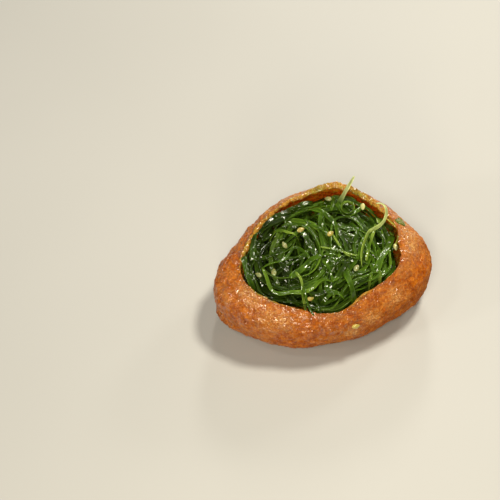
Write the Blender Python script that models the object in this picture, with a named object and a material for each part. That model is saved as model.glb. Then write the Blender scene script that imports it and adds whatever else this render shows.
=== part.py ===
# Inari sushi at its real size, in metres: a pocket of fried tofu skin, open at the top and filled with
# seaweed salad. +Z is up, the origin is the middle of the base, and the viewer's side is -Y.
import math
import random

import bmesh
import bpy
import numpy as np
from mathutils import Matrix, Vector, noise

# Driving sizes of the pocket
WIDTH = 0.082  # the belly's widest, along X
DEPTH = 0.0614  # the belly's widest, along Y
BELLY_HEIGHT = 0.0163  # of the widest line above the base
BELLY_HEIGHT_SWING = 0.0014  # the widest line stands higher at the left end
FOOT_SHARE = 0.66  # the flat base against the belly
RIM_HEIGHT = 0.0297  # the opening's edge, on average
RIM_SLOPE = 0.19  # the rise of the edge per metre towards the back
SKIN = 0.0022  # thickness of the tofu skin
GAP = 0.0003  # between the salad and the skin

# The opening's inner edge, seen from above
RIM_HALF_WIDTH = 0.0274
RIM_HALF_DEPTH = 0.0259
RIM_CENTRE = (-0.0002, -0.0020)

# Each lobe is (waves round the outline, size as a share of the radius, degrees at which it stands out)
BELLY_LOBES = ((2, 0.098, 45), (3, 0.044, -19), (4, 0.016, 14), (5, 0.003, -4))
RIM_LOBES = ((2, 0.100, 20), (3, 0.012, -18), (4, 0.011, 5), (5, 0.027, -8))
# Where the edge is drawn in: degrees, half its spread, share drawn in
RIM_TUCKS = ((4, 7, 0.035), (6, 24, 0.045), (-54, 9.5, 0.047), (134, 26, 0.035), (188, 12, -0.015))
RIM_WAVES = ((2, 0.0007, 50), (3, 0.0009, -19))  # of its height: waves, metres, degrees of a crest
PEAK = (88, 13, 0.0022)  # the torn point at the back: degrees, half its spread, rise
NOTCH = (196, 8, 0.0012)  # the nick at the left end: degrees, half its spread, drop
EDGE_CROWN = 0.15  # how far the torn edge is rounded, against the skin's thickness

# How full the wall is: below the belly outwards and downwards, and above it upwards, then down and back
LOWER_FULLNESS = (0.62, 0.60)
UPPER_FULLNESS = (0.52, 0.30, 0.42)

# The folded corner low at the left end, and the crease between it and the belly
EAR = (196, 12, 0.0042)  # degrees, half its spread, reach
EAR_LEVELS = (0.0036, 0.0030)  # height of its middle, and half its height
EAR_START = 0.0015  # height over which it grows out of the base
CREASE = (0.0086, 0.0017, 0.0015)  # height, half its height, depth

# Relief of the skin
DENT_SIZE = 0.014
DENT_DEPTH = 0.0007
DENT_START = 0.006  # height over which the dents grow from nothing, so that the base is flat
TEAR_SIZE = 0.0026
TEAR_DEPTH = 0.0005

# The salad's core
HEAP_EDGE = 0.0232  # level at the wall, on average
HEAP_DOME = 0.0035  # rise of the middle over the edge
HEAP_SLOPE = (0.03, 0.12)  # the rise per metre towards the right and towards the back
HEAP_DIP = -0.3  # the dome goes no further down than this share of its rise
HEAP_LUMPS = (0.0007, 0.0051, 0.0043)  # height of the lumps, and their size along X and along Y
HEAP_DEPTH = 0.006  # below the core's edge, the wall no longer bounds the strands

# The salad's strands
STRAND_COUNT = 27
STRAND_SIDES = 5
STRAND_STEP = 0.0026
STRAND_LENGTH = (0.024, 0.044)
STRAND_WIDTH = (0.0018, 0.0034)
STRAND_FLATNESS = 0.55  # thickness against width
STRAND_SINK = 0.25  # how far a strand stands over what it lies on, against half its thickness
STRAND_CURL = (10, 60)  # steady turn, in radians per metre
STRAND_SWING = (10, 50)  # turn that comes and goes
STRAND_WAVE = (0.012, 0.030)  # length of one swing
STRAND_TWIST = 0.5
STRAND_TAPER = 0.7  # width of the end against the middle
STRAND_TRIES = 16
SLACK_ROUNDS = 6  # how far a strand bridges the dips under it
WALL_TURNS = (0, 0.2, -0.2, 0.4, -0.4, 0.6, -0.6)  # radians tried, in order, to stay inside the wall
WALL_COST = 0.003  # metres of salad that a path cut off by the wall counts as
WALL_MARGIN = 0.0005
FEWEST_STEPS = 6
HEAP_SEED = 11
# One strand stands out over the rim at the back, from its root to its tip
SPRIG = (
    (0.0030, 0.0130, 0.0255),
    (0.0040, 0.0165, 0.0300),
    (0.0075, 0.0200, 0.0355),
    (0.0114, 0.0236, 0.0420),
)
SPRIG_WIDTH = 0.0019
SPRIG_STEPS = 12
SPRIG_TWIST = 0.3

# Sesame seeds
SEED_COUNT = 9
SEED_SIZE = (0.0031, 0.0020, 0.0013)
SEED_POINT = 0.35  # how far one end narrows
SEED_SPREAD = 0.021  # from the middle of the opening
SEED_LIFT = 0.0002
GOLDEN_ANGLE = 2.4  # spreads the seeds evenly

SKIN_COLOUR = (0.52, 0.17, 0.035)
SKIN_ROUGHNESS = 0.45
SALAD_COLOUR = (0.03, 0.13, 0.012)
SALAD_ROUGHNESS = 0.3
SHARP_EDGE = 50  # degrees

# Fineness of the meshes
COLUMNS = 64
BASE_ROWS = 2
LOWER_ROWS = 7
UPPER_ROWS = 6
CORE_ROWS = 4
TOP_ROWS = 6
CELL = 0.0005  # of the height grid that the strands are laid on
GRID_HALF = 0.038


def lobed(angle, lobes):
    """The radius at an angle, as a share, with the lobes on it."""
    share = 1.0
    for waves, size, degrees in lobes:
        share = share + size * np.cos(waves * (angle - math.radians(degrees)))
    return share


def bump(angle, degrees, half_spread):
    """1 at an angle in degrees, falling smoothly to 0 on both sides."""
    away = (angle - math.radians(degrees) + math.pi) % (2 * math.pi) - math.pi
    return np.exp(-0.5 * (away / math.radians(half_spread)) ** 2)


def belly_line(angle):
    """The pocket's widest line, scaled so that it fills the pocket's width and depth."""
    whole = np.linspace(0, 2 * math.pi, 361)
    lines = []
    for a in (angle, whole):
        reach = lobed(a, BELLY_LOBES)
        lines.append(np.stack([np.cos(a) * reach, np.sin(a) * reach], -1))
    low, high = lines[1].min(0), lines[1].max(0)
    plan = (lines[0] - (low + high) / 2) / (high - low) * np.array([WIDTH, DEPTH])
    height = BELLY_HEIGHT - BELLY_HEIGHT_SWING * np.cos(angle)
    return np.concatenate([plan, height[..., None]], -1)


def rim_line(angle):
    """The outer edge of the opening. At the back the skin stands up, and in front it leans inwards."""
    reach = lobed(angle, RIM_LOBES)
    for degrees, half_spread, share in RIM_TUCKS:
        reach = reach - share * bump(angle, degrees, half_spread)
    x = RIM_CENTRE[0] + (RIM_HALF_WIDTH + SKIN / 2) * np.cos(angle) * reach
    y = RIM_CENTRE[1] + SKIN / 2 + (RIM_HALF_DEPTH + SKIN / 2) * np.sin(angle) * reach
    z = RIM_HEIGHT + RIM_SLOPE * y
    for waves, size, degrees in RIM_WAVES:
        z = z + size * np.cos(waves * (angle - math.radians(degrees)))
    z = z + PEAK[2] * bump(angle, *PEAK[:2]) - NOTCH[2] * bump(angle, *NOTCH[:2])
    return np.stack([x, y, z], -1)


def foot_line(angle):
    """The edge of the flat base."""
    plan = belly_line(angle)[..., :2] * FOOT_SHARE
    return np.concatenate([plan, np.zeros(plan.shape[:-1] + (1,))], -1)


def bezier(points, t):
    a, b, c, d = points
    s = 1 - t
    return s**3 * a + 3 * s * s * t * b + 3 * s * t * t * c + t**3 * d


def skin_rows(angle, base_rows, lower_rows, upper_rows):
    """The outer skin as rows of points from near the middle of the base up to the rim."""
    foot, belly, rim = foot_line(angle), belly_line(angle), rim_line(angle)
    up = np.array([0.0, 0.0, 1.0])
    out = (belly - foot) * np.array([1, 1, 0])
    drop = belly[:, 2:] * up
    rise = (rim - belly)[:, 2:] * up
    lean = (rim - belly) * np.array([1, 1, 0])
    rows = [foot * share for share in np.linspace(0, 1, base_rows + 1)[1:]]
    outwards, downwards = LOWER_FULLNESS
    upwards, down, back = UPPER_FULLNESS
    lower = (foot, foot + outwards * out, belly - downwards * drop, belly)
    upper = (belly, belly + upwards * rise, rim - down * rise - back * lean, rim)
    rows += [bezier(lower, t) for t in np.linspace(0, 1, lower_rows + 1)[1:]]
    rows += [bezier(upper, t) for t in np.linspace(0, 1, upper_rows + 1)[1:]]
    return np.stack(rows)


def normals_of(rows):
    """Outward normals of a grid of rows that closes on itself along each row."""
    along = np.roll(rows, -1, 1) - np.roll(rows, 1, 1)
    across = np.gradient(rows, axis=0)
    normal = np.cross(along, across)
    return normal / np.linalg.norm(normal, axis=2, keepdims=True)


def dented(rows):
    """Broad dents, the folded corner at the left and the ragged tear of the rim."""
    normal = normals_of(rows)
    angle = np.arctan2(rows[..., 1], rows[..., 0])
    height = rows[..., 2]
    wall = np.clip(height / DENT_START, 0, 1)
    dent = np.array([[noise.noise(Vector(p) / DENT_SIZE) for p in row] for row in rows])
    fold = EAR[2] * np.exp(-(((height - EAR_LEVELS[0]) / EAR_LEVELS[1]) ** 2))
    fold *= np.clip(height / EAR_START, 0, 1)
    fold -= CREASE[2] * np.exp(-(((height - CREASE[0]) / CREASE[1]) ** 2))
    outward = rows * np.array([1, 1, 0])
    outward /= np.maximum(np.linalg.norm(outward, axis=2, keepdims=True), 1e-6)
    moved = rows + normal * (DENT_DEPTH * dent * wall)[..., None]
    moved += outward * (fold * bump(angle, *EAR[:2]))[..., None]
    tear = np.array([noise.noise(Vector(p) / TEAR_SIZE) for p in moved[-1]])
    moved[-1, :, 2] += TEAR_DEPTH * tear
    return moved


def skin_grid(columns):
    angle = np.linspace(0, 2 * math.pi, columns, endpoint=False)
    return dented(skin_rows(angle, BASE_ROWS, LOWER_ROWS, UPPER_ROWS))


def inset(rows, depth):
    """The rows moved into the pocket by a depth, and no lower than that above the floor."""
    moved = rows - normals_of(rows) * depth
    moved[..., 2] = np.maximum(moved[..., 2], depth)
    moved[:BASE_ROWS, :, 2] = depth
    return moved


def object_from(name, mesh, colour, roughness):
    item = bpy.data.objects.new(name, mesh)
    bpy.context.scene.collection.objects.link(item)
    finish = bpy.data.materials.new(name)
    finish.use_nodes = True
    shader = finish.node_tree.nodes["Principled BSDF"]
    shader.inputs["Base Color"].default_value = (*colour, 1)
    shader.inputs["Roughness"].default_value = roughness
    mesh.materials.append(finish)
    mesh.shade_smooth()
    mesh.set_sharp_from_angle(angle=math.radians(SHARP_EDGE))
    return item


def closed_mesh(name, rows, bottom, top):
    """A closed mesh through rows of points, with a point at each end."""
    shape = bmesh.new()
    rings = [[shape.verts.new(p) for p in row] for row in rows]
    count = len(rings[0])
    first, last = shape.verts.new(bottom), shape.verts.new(top)
    for i in range(count):
        j = (i + 1) % count
        shape.faces.new((first, rings[0][j], rings[0][i]))
        shape.faces.new((last, rings[-1][i], rings[-1][j]))
        for below, above in zip(rings, rings[1:]):
            shape.faces.new((below[i], below[j], above[j], above[i]))
    bmesh.ops.recalc_face_normals(shape, faces=shape.faces)
    mesh = bpy.data.meshes.new(name)
    shape.to_mesh(mesh)
    shape.free()
    return mesh


def build_pocket():
    outer = skin_grid(COLUMNS)
    inner = inset(outer, SKIN)[::-1]
    middle_of_edge = (outer[-1] + inner[0]) / 2 + np.array([0, 0, EDGE_CROWN * SKIN])
    rows = [*outer, middle_of_edge, *inner]
    mesh = closed_mesh("pocket", rows, (0, 0, 0), (0, 0, SKIN))
    return object_from("pocket", mesh, SKIN_COLOUR, SKIN_ROUGHNESS)


def heap_top(x, y):
    """Level of the salad's core, lumpy and higher in the middle."""
    share = (x / RIM_HALF_WIDTH) ** 2 + (y / RIM_HALF_DEPTH) ** 2
    dome = HEAP_DOME * np.clip(1 - share, HEAP_DIP, 1)
    height, along_x, along_y = HEAP_LUMPS
    lumps = height * np.sin(x / along_x) * np.cos(y / along_y)
    return HEAP_EDGE + HEAP_SLOPE[0] * x + HEAP_SLOPE[1] * y + dome + lumps


def core_rows():
    """The core against the inside of the skin, up to the salad's level, then in over the top."""
    wall = inset(skin_grid(COLUMNS), SKIN + GAP)
    belly = BASE_ROWS + LOWER_ROWS
    columns = []
    for i in range(COLUMNS):
        line = wall[:, i]
        over = line[:, 2] - heap_top(line[:, 0], line[:, 1])
        end = int(np.argmax(over > 0))
        share = over[end - 1] / (over[end - 1] - over[end])
        edge = line[end - 1] + share * (line[end] - line[end - 1])
        upper = np.vstack([line[belly:end], edge])
        run = np.linspace(0, len(upper) - 1, CORE_ROWS)
        side = np.stack([np.interp(run, np.arange(len(upper)), upper[:, k]) for k in range(3)], 1)
        top = []
        for inward in np.linspace(1, 0, TOP_ROWS + 1)[1:-1]:
            x, y = edge[:2] * inward
            top.append((x, y, heap_top(x, y)))
        columns.append(np.vstack([line[:belly], side, top]))
    return np.stack(columns, 1)


def inner_reach():
    """How far from the middle the salad may reach in each direction: a table of angles and distances."""
    angle = np.linspace(0, 2 * math.pi, COLUMNS, endpoint=False)
    wall = inset(dented(skin_rows(angle, BASE_ROWS, LOWER_ROWS, 3 * UPPER_ROWS)), SKIN + GAP)
    away = np.hypot(wall[..., 0], wall[..., 1])
    away[wall[..., 2] < HEAP_EDGE - HEAP_DEPTH] = math.inf
    return np.arctan2(wall[-1, :, 1], wall[-1, :, 0]), away.min(0)


def reach_at(reach, angle):
    return np.interp(angle, *reach, period=2 * math.pi)


def wander(rng, reach, length, margin):
    """A loosely curling path seen from above. It turns along the wall where it meets it, or ends there."""
    spot = rng.uniform(0, 2 * math.pi)
    away = (reach_at(reach, spot) - margin) * math.sqrt(rng.random())
    plan = [(away * math.cos(spot), away * math.sin(spot))]
    heading = rng.uniform(0, 2 * math.pi)
    curl = rng.choice((-1, 1)) * rng.uniform(*STRAND_CURL)
    swing, phase = rng.uniform(*STRAND_SWING), rng.uniform(0, 2 * math.pi)
    wave = rng.uniform(*STRAND_WAVE) / (2 * math.pi)
    for i in range(round(length / STRAND_STEP)):
        heading += STRAND_STEP * (curl + swing * math.sin(i * STRAND_STEP / wave + phase))
        for turn in WALL_TURNS:
            x = plan[-1][0] + STRAND_STEP * math.cos(heading + turn)
            y = plan[-1][1] + STRAND_STEP * math.sin(heading + turn)
            if math.hypot(x, y) < reach_at(reach, math.atan2(y, x)) - margin:
                break
        else:
            break
        heading += turn
        plan.append((x, y))
    return np.array(plan)


def strand_plan(rng, reach, cover, length, half_width):
    """Of several paths, the one with the least salad under it, counting what the wall cuts off as salad."""
    best, least = None, math.inf
    for _ in range(STRAND_TRIES):
        plan = wander(rng, reach, length, half_width + WALL_MARGIN)
        missing = 1 - len(plan) * STRAND_STEP / length
        cost = cover[tuple(cells(plan).T)].mean() + WALL_COST * missing
        if cost < least and len(plan) >= FEWEST_STEPS:
            best, least = plan, cost
    return best


def cells(points):
    return np.clip(((points + GRID_HALF) / CELL).astype(int), 0, int(2 * GRID_HALF / CELL) - 1)


def lay(grid, plan, half_width, half_thick):
    """Drops a strand on the heap: its height at each point, and the heap raised where it lies."""
    reach = int(half_width / CELL) + 1
    steps = np.arange(-reach, reach + 1)
    du, dv = np.meshgrid(steps, steps)
    across = np.hypot(du, dv) * CELL / half_width
    inside = across < 1
    du, dv, across = du[inside], dv[inside], across[inside]
    spot = cells(plan)
    limit = grid.shape[0] - 1
    u = np.clip(spot[:, :1] + du, 0, limit)
    v = np.clip(spot[:, 1:] + dv, 0, limit)
    floor = grid[u, v].max(1)
    level = floor.copy()
    for _ in range(SLACK_ROUNDS):
        level[1:-1] = np.maximum(floor[1:-1], (level[:-2] + level[2:]) / 2)
    level += STRAND_SINK * half_thick
    top = level[:, None] + half_thick * np.sqrt(1 - across**2)
    np.maximum.at(grid, (u, v), top)
    return level


def strand_mesh(path, half_width, half_thick, twist):
    """A closed strip of oval section along a path, tapering at its ends."""
    along = np.gradient(path, axis=0)
    along /= np.linalg.norm(along, axis=1, keepdims=True)
    side = np.cross(along, [0, 0, 1.0])
    side /= np.maximum(np.linalg.norm(side, axis=1, keepdims=True), 1e-6)
    over = np.cross(side, along)
    rows = []
    for i, point in enumerate(path):
        roll = twist * math.sin(math.pi * i / len(path))
        s = side[i] * math.cos(roll) + over[i] * math.sin(roll)
        o = over[i] * math.cos(roll) - side[i] * math.sin(roll)
        ends = min(i, len(path) - 1 - i)
        size = STRAND_TAPER if ends == 0 else 1.0
        ring = [
            point + size * (half_width * math.cos(c) * s + half_thick * math.sin(c) * o)
            for c in (2 * math.pi * k / STRAND_SIDES for k in range(STRAND_SIDES))
        ]
        rows.append(ring)
    tip = half_thick / 2
    return closed_mesh("strand", rows, path[0] - along[0] * tip, path[-1] + along[-1] * tip)


def sprig_mesh():
    path = bezier(np.array(SPRIG), np.linspace(0, 1, SPRIG_STEPS)[:, None])
    return strand_mesh(path, SPRIG_WIDTH / 2, SPRIG_WIDTH * STRAND_FLATNESS / 2, SPRIG_TWIST)


def seed_mesh(place, heading):
    """A sesame seed, a flat drop pointed at one end."""
    shape = bmesh.new()
    bmesh.ops.create_icosphere(shape, subdivisions=1, radius=0.5)
    for v in shape.verts:
        narrow = 1 - SEED_POINT * (v.co.x + 0.5)
        v.co = Vector((v.co.x * SEED_SIZE[0], v.co.y * SEED_SIZE[1] * narrow, v.co.z * SEED_SIZE[2]))
    mesh = bpy.data.meshes.new("seed")
    shape.to_mesh(mesh)
    shape.free()
    c, s = math.cos(heading), math.sin(heading)
    for v in mesh.vertices:
        x, y, z = v.co
        v.co = (place[0] + c * x - s * y, place[1] + s * x + c * y, place[2] + z)
    return mesh


def fuse(item, meshes):
    """Joins the loose pieces to an object by one union, and keeps the outermost shell alone."""
    group = bpy.data.collections.new("loose")
    bpy.context.scene.collection.children.link(group)
    for mesh in meshes:
        group.objects.link(bpy.data.objects.new("loose", mesh))
    join = item.modifiers.new("join", "BOOLEAN")
    join.operation = "UNION"
    join.operand_type = "COLLECTION"
    join.collection = group
    join.solver = "MANIFOLD"
    graph = bpy.context.evaluated_depsgraph_get()
    fused = bpy.data.meshes.new_from_object(item.evaluated_get(graph))
    item.modifiers.clear()
    item.data = fused
    for loose in list(group.objects):
        bpy.data.objects.remove(loose)
    bpy.data.collections.remove(group)
    keep_outer_shell(fused)


def keep_outer_shell(mesh):
    """Drops loose scraps and the walls of sealed hollows."""
    shape = bmesh.new()
    shape.from_mesh(mesh)
    bmesh.ops.triangulate(shape, faces=shape.faces)
    left, shells = set(shape.faces), []
    while left:
        shell, edge = set(), [left.pop()]
        while edge:
            face = edge.pop()
            shell.add(face)
            for line in face.edges:
                for other in line.link_faces:
                    if other in left:
                        left.remove(other)
                        edge.append(other)
        shells.append(shell)
    largest = max(shells, key=len)
    spare = [face for shell in shells if shell is not largest for face in shell]
    bmesh.ops.delete(shape, geom=spare, context="FACES")
    shape.to_mesh(mesh)
    shape.free()


def build_salad():
    rows = core_rows()
    middle = heap_top(0.0, 0.0)
    mesh = closed_mesh("seaweed_salad", rows, (0, 0, SKIN + GAP), (0, 0, middle))
    salad = object_from("seaweed_salad", mesh, SALAD_COLOUR, SALAD_ROUGHNESS)
    axis = np.arange(-GRID_HALF, GRID_HALF, CELL) + CELL / 2
    floor = heap_top(*np.meshgrid(axis, axis, indexing="ij"))
    grid = floor.copy()
    reach = inner_reach()
    rng = random.Random(HEAP_SEED)
    pieces = []
    for i in range(STRAND_COUNT):
        share = 1 - i / STRAND_COUNT
        width = STRAND_WIDTH[0] + share * (STRAND_WIDTH[1] - STRAND_WIDTH[0])
        half_width, half_thick = width / 2, width * STRAND_FLATNESS / 2
        plan = strand_plan(rng, reach, grid - floor, rng.uniform(*STRAND_LENGTH), half_width)
        level = lay(grid, plan, half_width, half_thick)
        path = np.column_stack([plan, level])
        twist = rng.uniform(-STRAND_TWIST, STRAND_TWIST)
        pieces.append(strand_mesh(path, half_width, half_thick, twist))
    pieces.append(sprig_mesh())
    for i in range(SEED_COUNT):
        angle, away = i * GOLDEN_ANGLE, SEED_SPREAD * math.sqrt((i + 0.5) / SEED_COUNT)
        x, y = away * math.cos(angle), away * math.sin(angle)
        u, v = cells(np.array([x, y]))
        pieces.append(seed_mesh((x, y, grid[u, v] + SEED_LIFT), rng.uniform(0, math.pi)))
    fuse(salad, pieces)
    return salad


def middle_of(rows):
    """How far the middle of the pocket's box lies from the origin, seen from above."""
    flat = rows.reshape(-1, 3)
    return (flat.min(0) + flat.max(0)) / 2 * np.array([1, 1, 0])


def main():
    for item in list(bpy.data.objects):
        bpy.data.objects.remove(item)
    shift = -middle_of(skin_grid(COLUMNS))
    for item in (build_pocket(), build_salad()):
        item.data.transform(Matrix.Translation(shift))


main()
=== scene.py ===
# Inari sushi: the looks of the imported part, in metres. The tofu skin, the seaweed strands and the sesame
# seeds are meshes made here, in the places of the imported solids, with node-based materials.
import math
import random

import bmesh
import bpy
import numpy as np
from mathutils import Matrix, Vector, noise
from mathutils.bvhtree import BVHTree

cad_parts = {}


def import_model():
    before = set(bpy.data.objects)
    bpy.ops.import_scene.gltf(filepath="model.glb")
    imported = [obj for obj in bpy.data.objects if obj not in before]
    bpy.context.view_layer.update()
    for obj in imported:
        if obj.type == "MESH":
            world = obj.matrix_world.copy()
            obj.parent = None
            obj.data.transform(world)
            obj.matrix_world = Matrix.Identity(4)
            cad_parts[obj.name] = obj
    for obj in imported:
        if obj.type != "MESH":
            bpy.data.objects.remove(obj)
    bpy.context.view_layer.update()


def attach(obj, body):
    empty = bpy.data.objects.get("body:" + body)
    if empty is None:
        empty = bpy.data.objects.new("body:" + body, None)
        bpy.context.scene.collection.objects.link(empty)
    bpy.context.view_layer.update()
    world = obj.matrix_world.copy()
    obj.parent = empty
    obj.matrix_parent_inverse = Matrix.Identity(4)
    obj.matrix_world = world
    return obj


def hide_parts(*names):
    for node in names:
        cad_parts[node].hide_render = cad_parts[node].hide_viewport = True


# Driving sizes of the pocket, the same as the solids'
WIDTH = 0.082
DEPTH = 0.0614
BELLY_HEIGHT = 0.0163
BELLY_HEIGHT_SWING = 0.0014
FOOT_SHARE = 0.66
RIM_HEIGHT = 0.0297
RIM_SLOPE = 0.19
SKIN = 0.0022
RIM_HALF_WIDTH = 0.0274
RIM_HALF_DEPTH = 0.0259
RIM_CENTRE = (-0.0002, -0.0020)
# How the outlines depart from ovals: waves all round, share or height, and angle of the first crest
BELLY_LOBES = ((2, 0.098, 45), (3, 0.044, -19), (4, 0.016, 14), (5, 0.003, -4))
RIM_LOBES = ((2, 0.100, 20), (3, 0.012, -18), (4, 0.011, 5), (5, 0.027, -8))
RIM_WAVES = ((2, 0.0007, 50), (3, 0.0009, -19))
# Where the rim is pulled in, rises and dips: angle, half spread, share or height
RIM_TUCKS = ((4, 7, 0.035), (6, 24, 0.045), (-54, 9.5, 0.047), (134, 26, 0.035), (188, 12, -0.015))
PEAK = (88, 13, 0.0022)
NOTCH = (196, 8, 0.0012)
# How round the wall is below and above its belly, as shares of the way to the next line
LOWER_FULLNESS = (0.62, 0.60)
UPPER_FULLNESS = (0.52, 0.30, 0.42)
# The folded corner low on the left: angle, half spread and size, its height and spread, and its crease
EAR = (196, 12, 0.0042)
EAR_LEVELS = (0.0036, 0.0030)
EAR_START = 0.0015
CREASE = (0.0086, 0.0017, 0.0015)
DENT_SIZE = 0.014
DENT_DEPTH = 0.0007
DENT_START = 0.006

# Fineness of the skin
COLUMNS = 760
BASE_ROWS = 3
LOWER_ROWS = 26
UPPER_ROWS = 52
EDGE_ROWS = 8
INSIDE_ROWS = 18
SOLID_ROWS = (2, 7, 6)  # the solids' own, by which the pocket is centred
REACH_ROWS = (3, 8, 24)  # enough to find how far out the salad may lie

THINNING = 0.64  # of the torn edge, where it isn't seen thick
THINNED_DEPTH = 0.0030
THICK_EDGES = ((86, 24, 1.0), (-54, 7, 0.9), (46, 14, 0.7), (172, 15, 1.0), (146, 14, 0.5), (-75, 20, 0.3))
# Thickness of the wall as a share of SKIN: what it has all round, and where it has more
WALL_SHARE = 0.80
THICK_WALLS = ((85, 45, 0.30), (172, 15, 0.30))
EDGE_CROWN = 0.24  # how far the cut edge bulges up, as a share of its thickness
# Where the top of the wall rolls inwards: angle, half spread, roll and the swelling below it
LIPS = ((134, 26, 0.0006, 0.0008), (6, 24, 0.0010, 0.0002), (-32, 12, 0.0007, 0.0))
LIP_REACH = 0.0026
LIP_SWELL_DEPTH = 0.0040
LIP_TOP_DEPTH = 0.0016
LIP_RISE = 0.25

# Sides of the pocket whose skin differs: angle and half spread
LEFT_SIDE = (185, 34)
FRONT_SIDE = (-50, 55)
SHOULDER = (42, 26)
BACK_LEFT = (150, 34)
LEFT_CORNER = (228, 16)
INNER_RIGHT = (4, 24)
INNER_FRONT = (-90, 50)
GLOSSY_SIDES = ((190, 32, 0.32), (240, 34, 0.18))
GLOSSY_SHOULDER = (48, 30)
GLOSSY_DEPTH = 0.010
GLOSSY_RIM = 0.0022

# Relief in layers of noise: size of its features, shift of the noise and height
PUCKERS = ((0.0075, 3.1, 0.00042), (0.0027, 9.7, 0.00030), (0.0011, 2.6, 0.00016))
LEFT_FOLDS = ((0.0030, 7.3, 0.00055),)
EDGE_CRUMBS = ((0.0006, 6.1, 0.00040), (0.0017, 2.2, 0.00050))
EDGE_GRIT = ((0.0007, 9.4, 0.00022),)
NICKS = ((0.0052, 8.8, 0.00030), (0.0023, 5.2, 0.00010), (0.0009, 3.9, 0.00004))
RAGGED_NICKS = ((0.0023, 5.2, 0.00022), (0.0009, 3.9, 0.00026))
RAGGED_BACK = (140, 50)
RAGGED_RIGHT = (-8, 26)
NICK_DEPTH = 0.0020
INNER_LUMPS = ((0.0021, 7.7, 0.00030), (0.0008, 1.3, 0.00024))
FRAYS = ((0.0015, 4.8, 0.00042), (0.0007, 2.9, 0.00034))
FRAY_DEPTH = 0.0012
FRINGE = 0.0005
# Creases: spacing, shift of the noise, share of it that is crease, and depth
RIM_CREASES = (0.0019, 5.3, 0.14, 0.00016)
WALL_CREASES = (0.0016, 1.9, 0.18, 0.00036)
BLISTERS = (0.0015, 4.4)
BLISTER_HEIGHT = 0.00018
BLISTER_GAP = 0.32
CREASE_STRETCH = 5
WRINKLES_START = 0.004
USUAL_REACH = 0.03  # the wall's usual distance from the middle

# Patches of the skin that the photograph shows: pixel and reach in metres
# Dull patches: rougher skin painted paler tan, partly the skin's own drier tone and partly a painted broad
# sheen
DULL_SHEEN_SPOTS = (
    (247, 290, 0.0040), (254, 298, 0.0036), (268, 318, 0.0042), (283, 322, 0.0036),
    (352, 332, 0.0040), (372, 318, 0.0034), (396, 296, 0.0036), (268, 211, 0.0034),
    (282, 202, 0.0036), (297, 195, 0.0034), (311, 190, 0.0030),
)
# Painted sheen: a pale pinkish sheen painted on the right shoulder
PINK_SHEEN_SPOTS = (
    (392, 207, 0.0040), (399, 213, 0.0042), (406, 222, 0.0048), (411, 233, 0.0050), (412, 247, 0.0036),
)
GLOSS_SPOTS = (
    (262, 297, 0.0030), (270, 303, 0.0028), (248, 283, 0.0030), (228, 300, 0.0040), (242, 322, 0.0040),
    (377, 281, 0.0026), (386, 276, 0.0030), (402, 211, 0.0036), (411, 222, 0.0040),
)
TORN_SPOTS = ((342.5, 306, 0.0012), (345.5, 302, 0.0014), (350, 299, 0.0012), (354, 297.5, 0.0009))
STAINED_SPOTS = (
    (343, 304, 0.0024), (350, 299, 0.0028), (318, 192, 0.0040), (300, 200, 0.0028),
    (258, 294, 0.0024), (272, 304, 0.0022), (236, 240, 0.0030), (244, 222, 0.0032),
    (256, 209, 0.0030), (356, 195, 0.0030), (370, 205, 0.0030),
)

# The heap of salad
HEAP_EDGE = 0.0232
HEAP_DOME = 0.0035
HEAP_SLOPE = (0.03, 0.12)
HEAP_DIP = -0.3
HEAP_LUMPS = (0.0007, 0.0051, 0.0043)  # height, and spacing along x and y
HEAP_DEPTH = 0.006
CORE_DROP = 0.0076  # the visible core lies this much lower than the solid one
CORE_RISE = 0.75  # share of that drop which it rises again by the wall
CORE_RISE_START = 0.35
CORE_RISE_SPREAD = 0.45
CORE_TURNS = 96
CORE_RINGS = 26
CORE_GAP = 0.0002
CORE_UNDER = 0.0003  # how far it lies under what the strands are laid on
CORE_LUMP = 0.0005
CORE_LUMP_SIZE = 0.0035
CORE_WALL = ((0.97, 0.009), (1.0, 0.006), (1.0, 0.003))  # share of its reach and depth, from the bottom
# Where the salad stands up against the wall: angle, half spread, rise
CLIMBS = ((148, 17, 0.0040), (182, 16, 0.0030))
CLIMB_START = 0.62
CLIMB_SPREAD = 0.30
# Where it stays deep by the wall: angle, half spread, share
LOW_SIDES = ((8, 36, 1.5), (-80, 36, 0.9))

# The grid on which strands are laid, and how they find their way
CELL = 0.0004
GRID_HALF = 0.038
REACH_ANGLES = np.radians(np.arange(720) / 2)  # every half degree
STEP = 0.0007
# Turns in radians that a strand tries, one after another, to stay clear of the wall
WALL_TURNS = (0, 0.1, -0.1, 0.2, -0.2, 0.35, -0.35, 0.5, -0.5)
WALL_GAP = 0.0003  # least space between a strand and the wall
WAVE_LENGTH = (0.008, 0.030)  # of the turn that comes and goes
WALL_COST = 0.003  # keeps strands from ending early at the wall
GAP_COST = 0.015  # keeps random strands out of the gaps
GAP_DROP = 0.0015
SINK = 0.2  # share of its half thickness at which a strand lies over what carries it
TRIES = 12
SHORTEST = 9  # points in the shortest strand
HEAP_SEED = 31
# Dark gaps in the heap: pixel, and half sizes in metres
GAPS = (
    (257, 283, 0.0016, 0.0050), (264, 253, 0.0022, 0.0040), (305, 309, 0.0036, 0.0014),
    (318, 312, 0.0030, 0.0012),
)
# Rises of the heap: pixel, half sizes and height in metres
MOUNDS = (
    (327, 205, 0.0120, 0.0045, 0.0022), (292, 211, 0.0090, 0.0045, 0.0024),
    (262, 230, 0.0060, 0.0060, 0.0020), (248, 262, 0.0030, 0.0080, 0.0020),
)

# Strands piled up along the wall: from and to an angle, and how many
WALL_TUFTS = ((112, 206, 26), (106, 152, 14), (40, 88, 8), (-34, 34, 8))
LAST_TUFTS = ((102, 168, 10), (58, 96, 3))
TUFT_HALF_WIDTH = (0.0006, 0.0011)
TUFT_HALF_SPAN = (9, 24)  # degrees
TUFT_DRIFT = 0.0016
TUFT_SLACK = 20
TUFT_ROLL = 0.5

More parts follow.
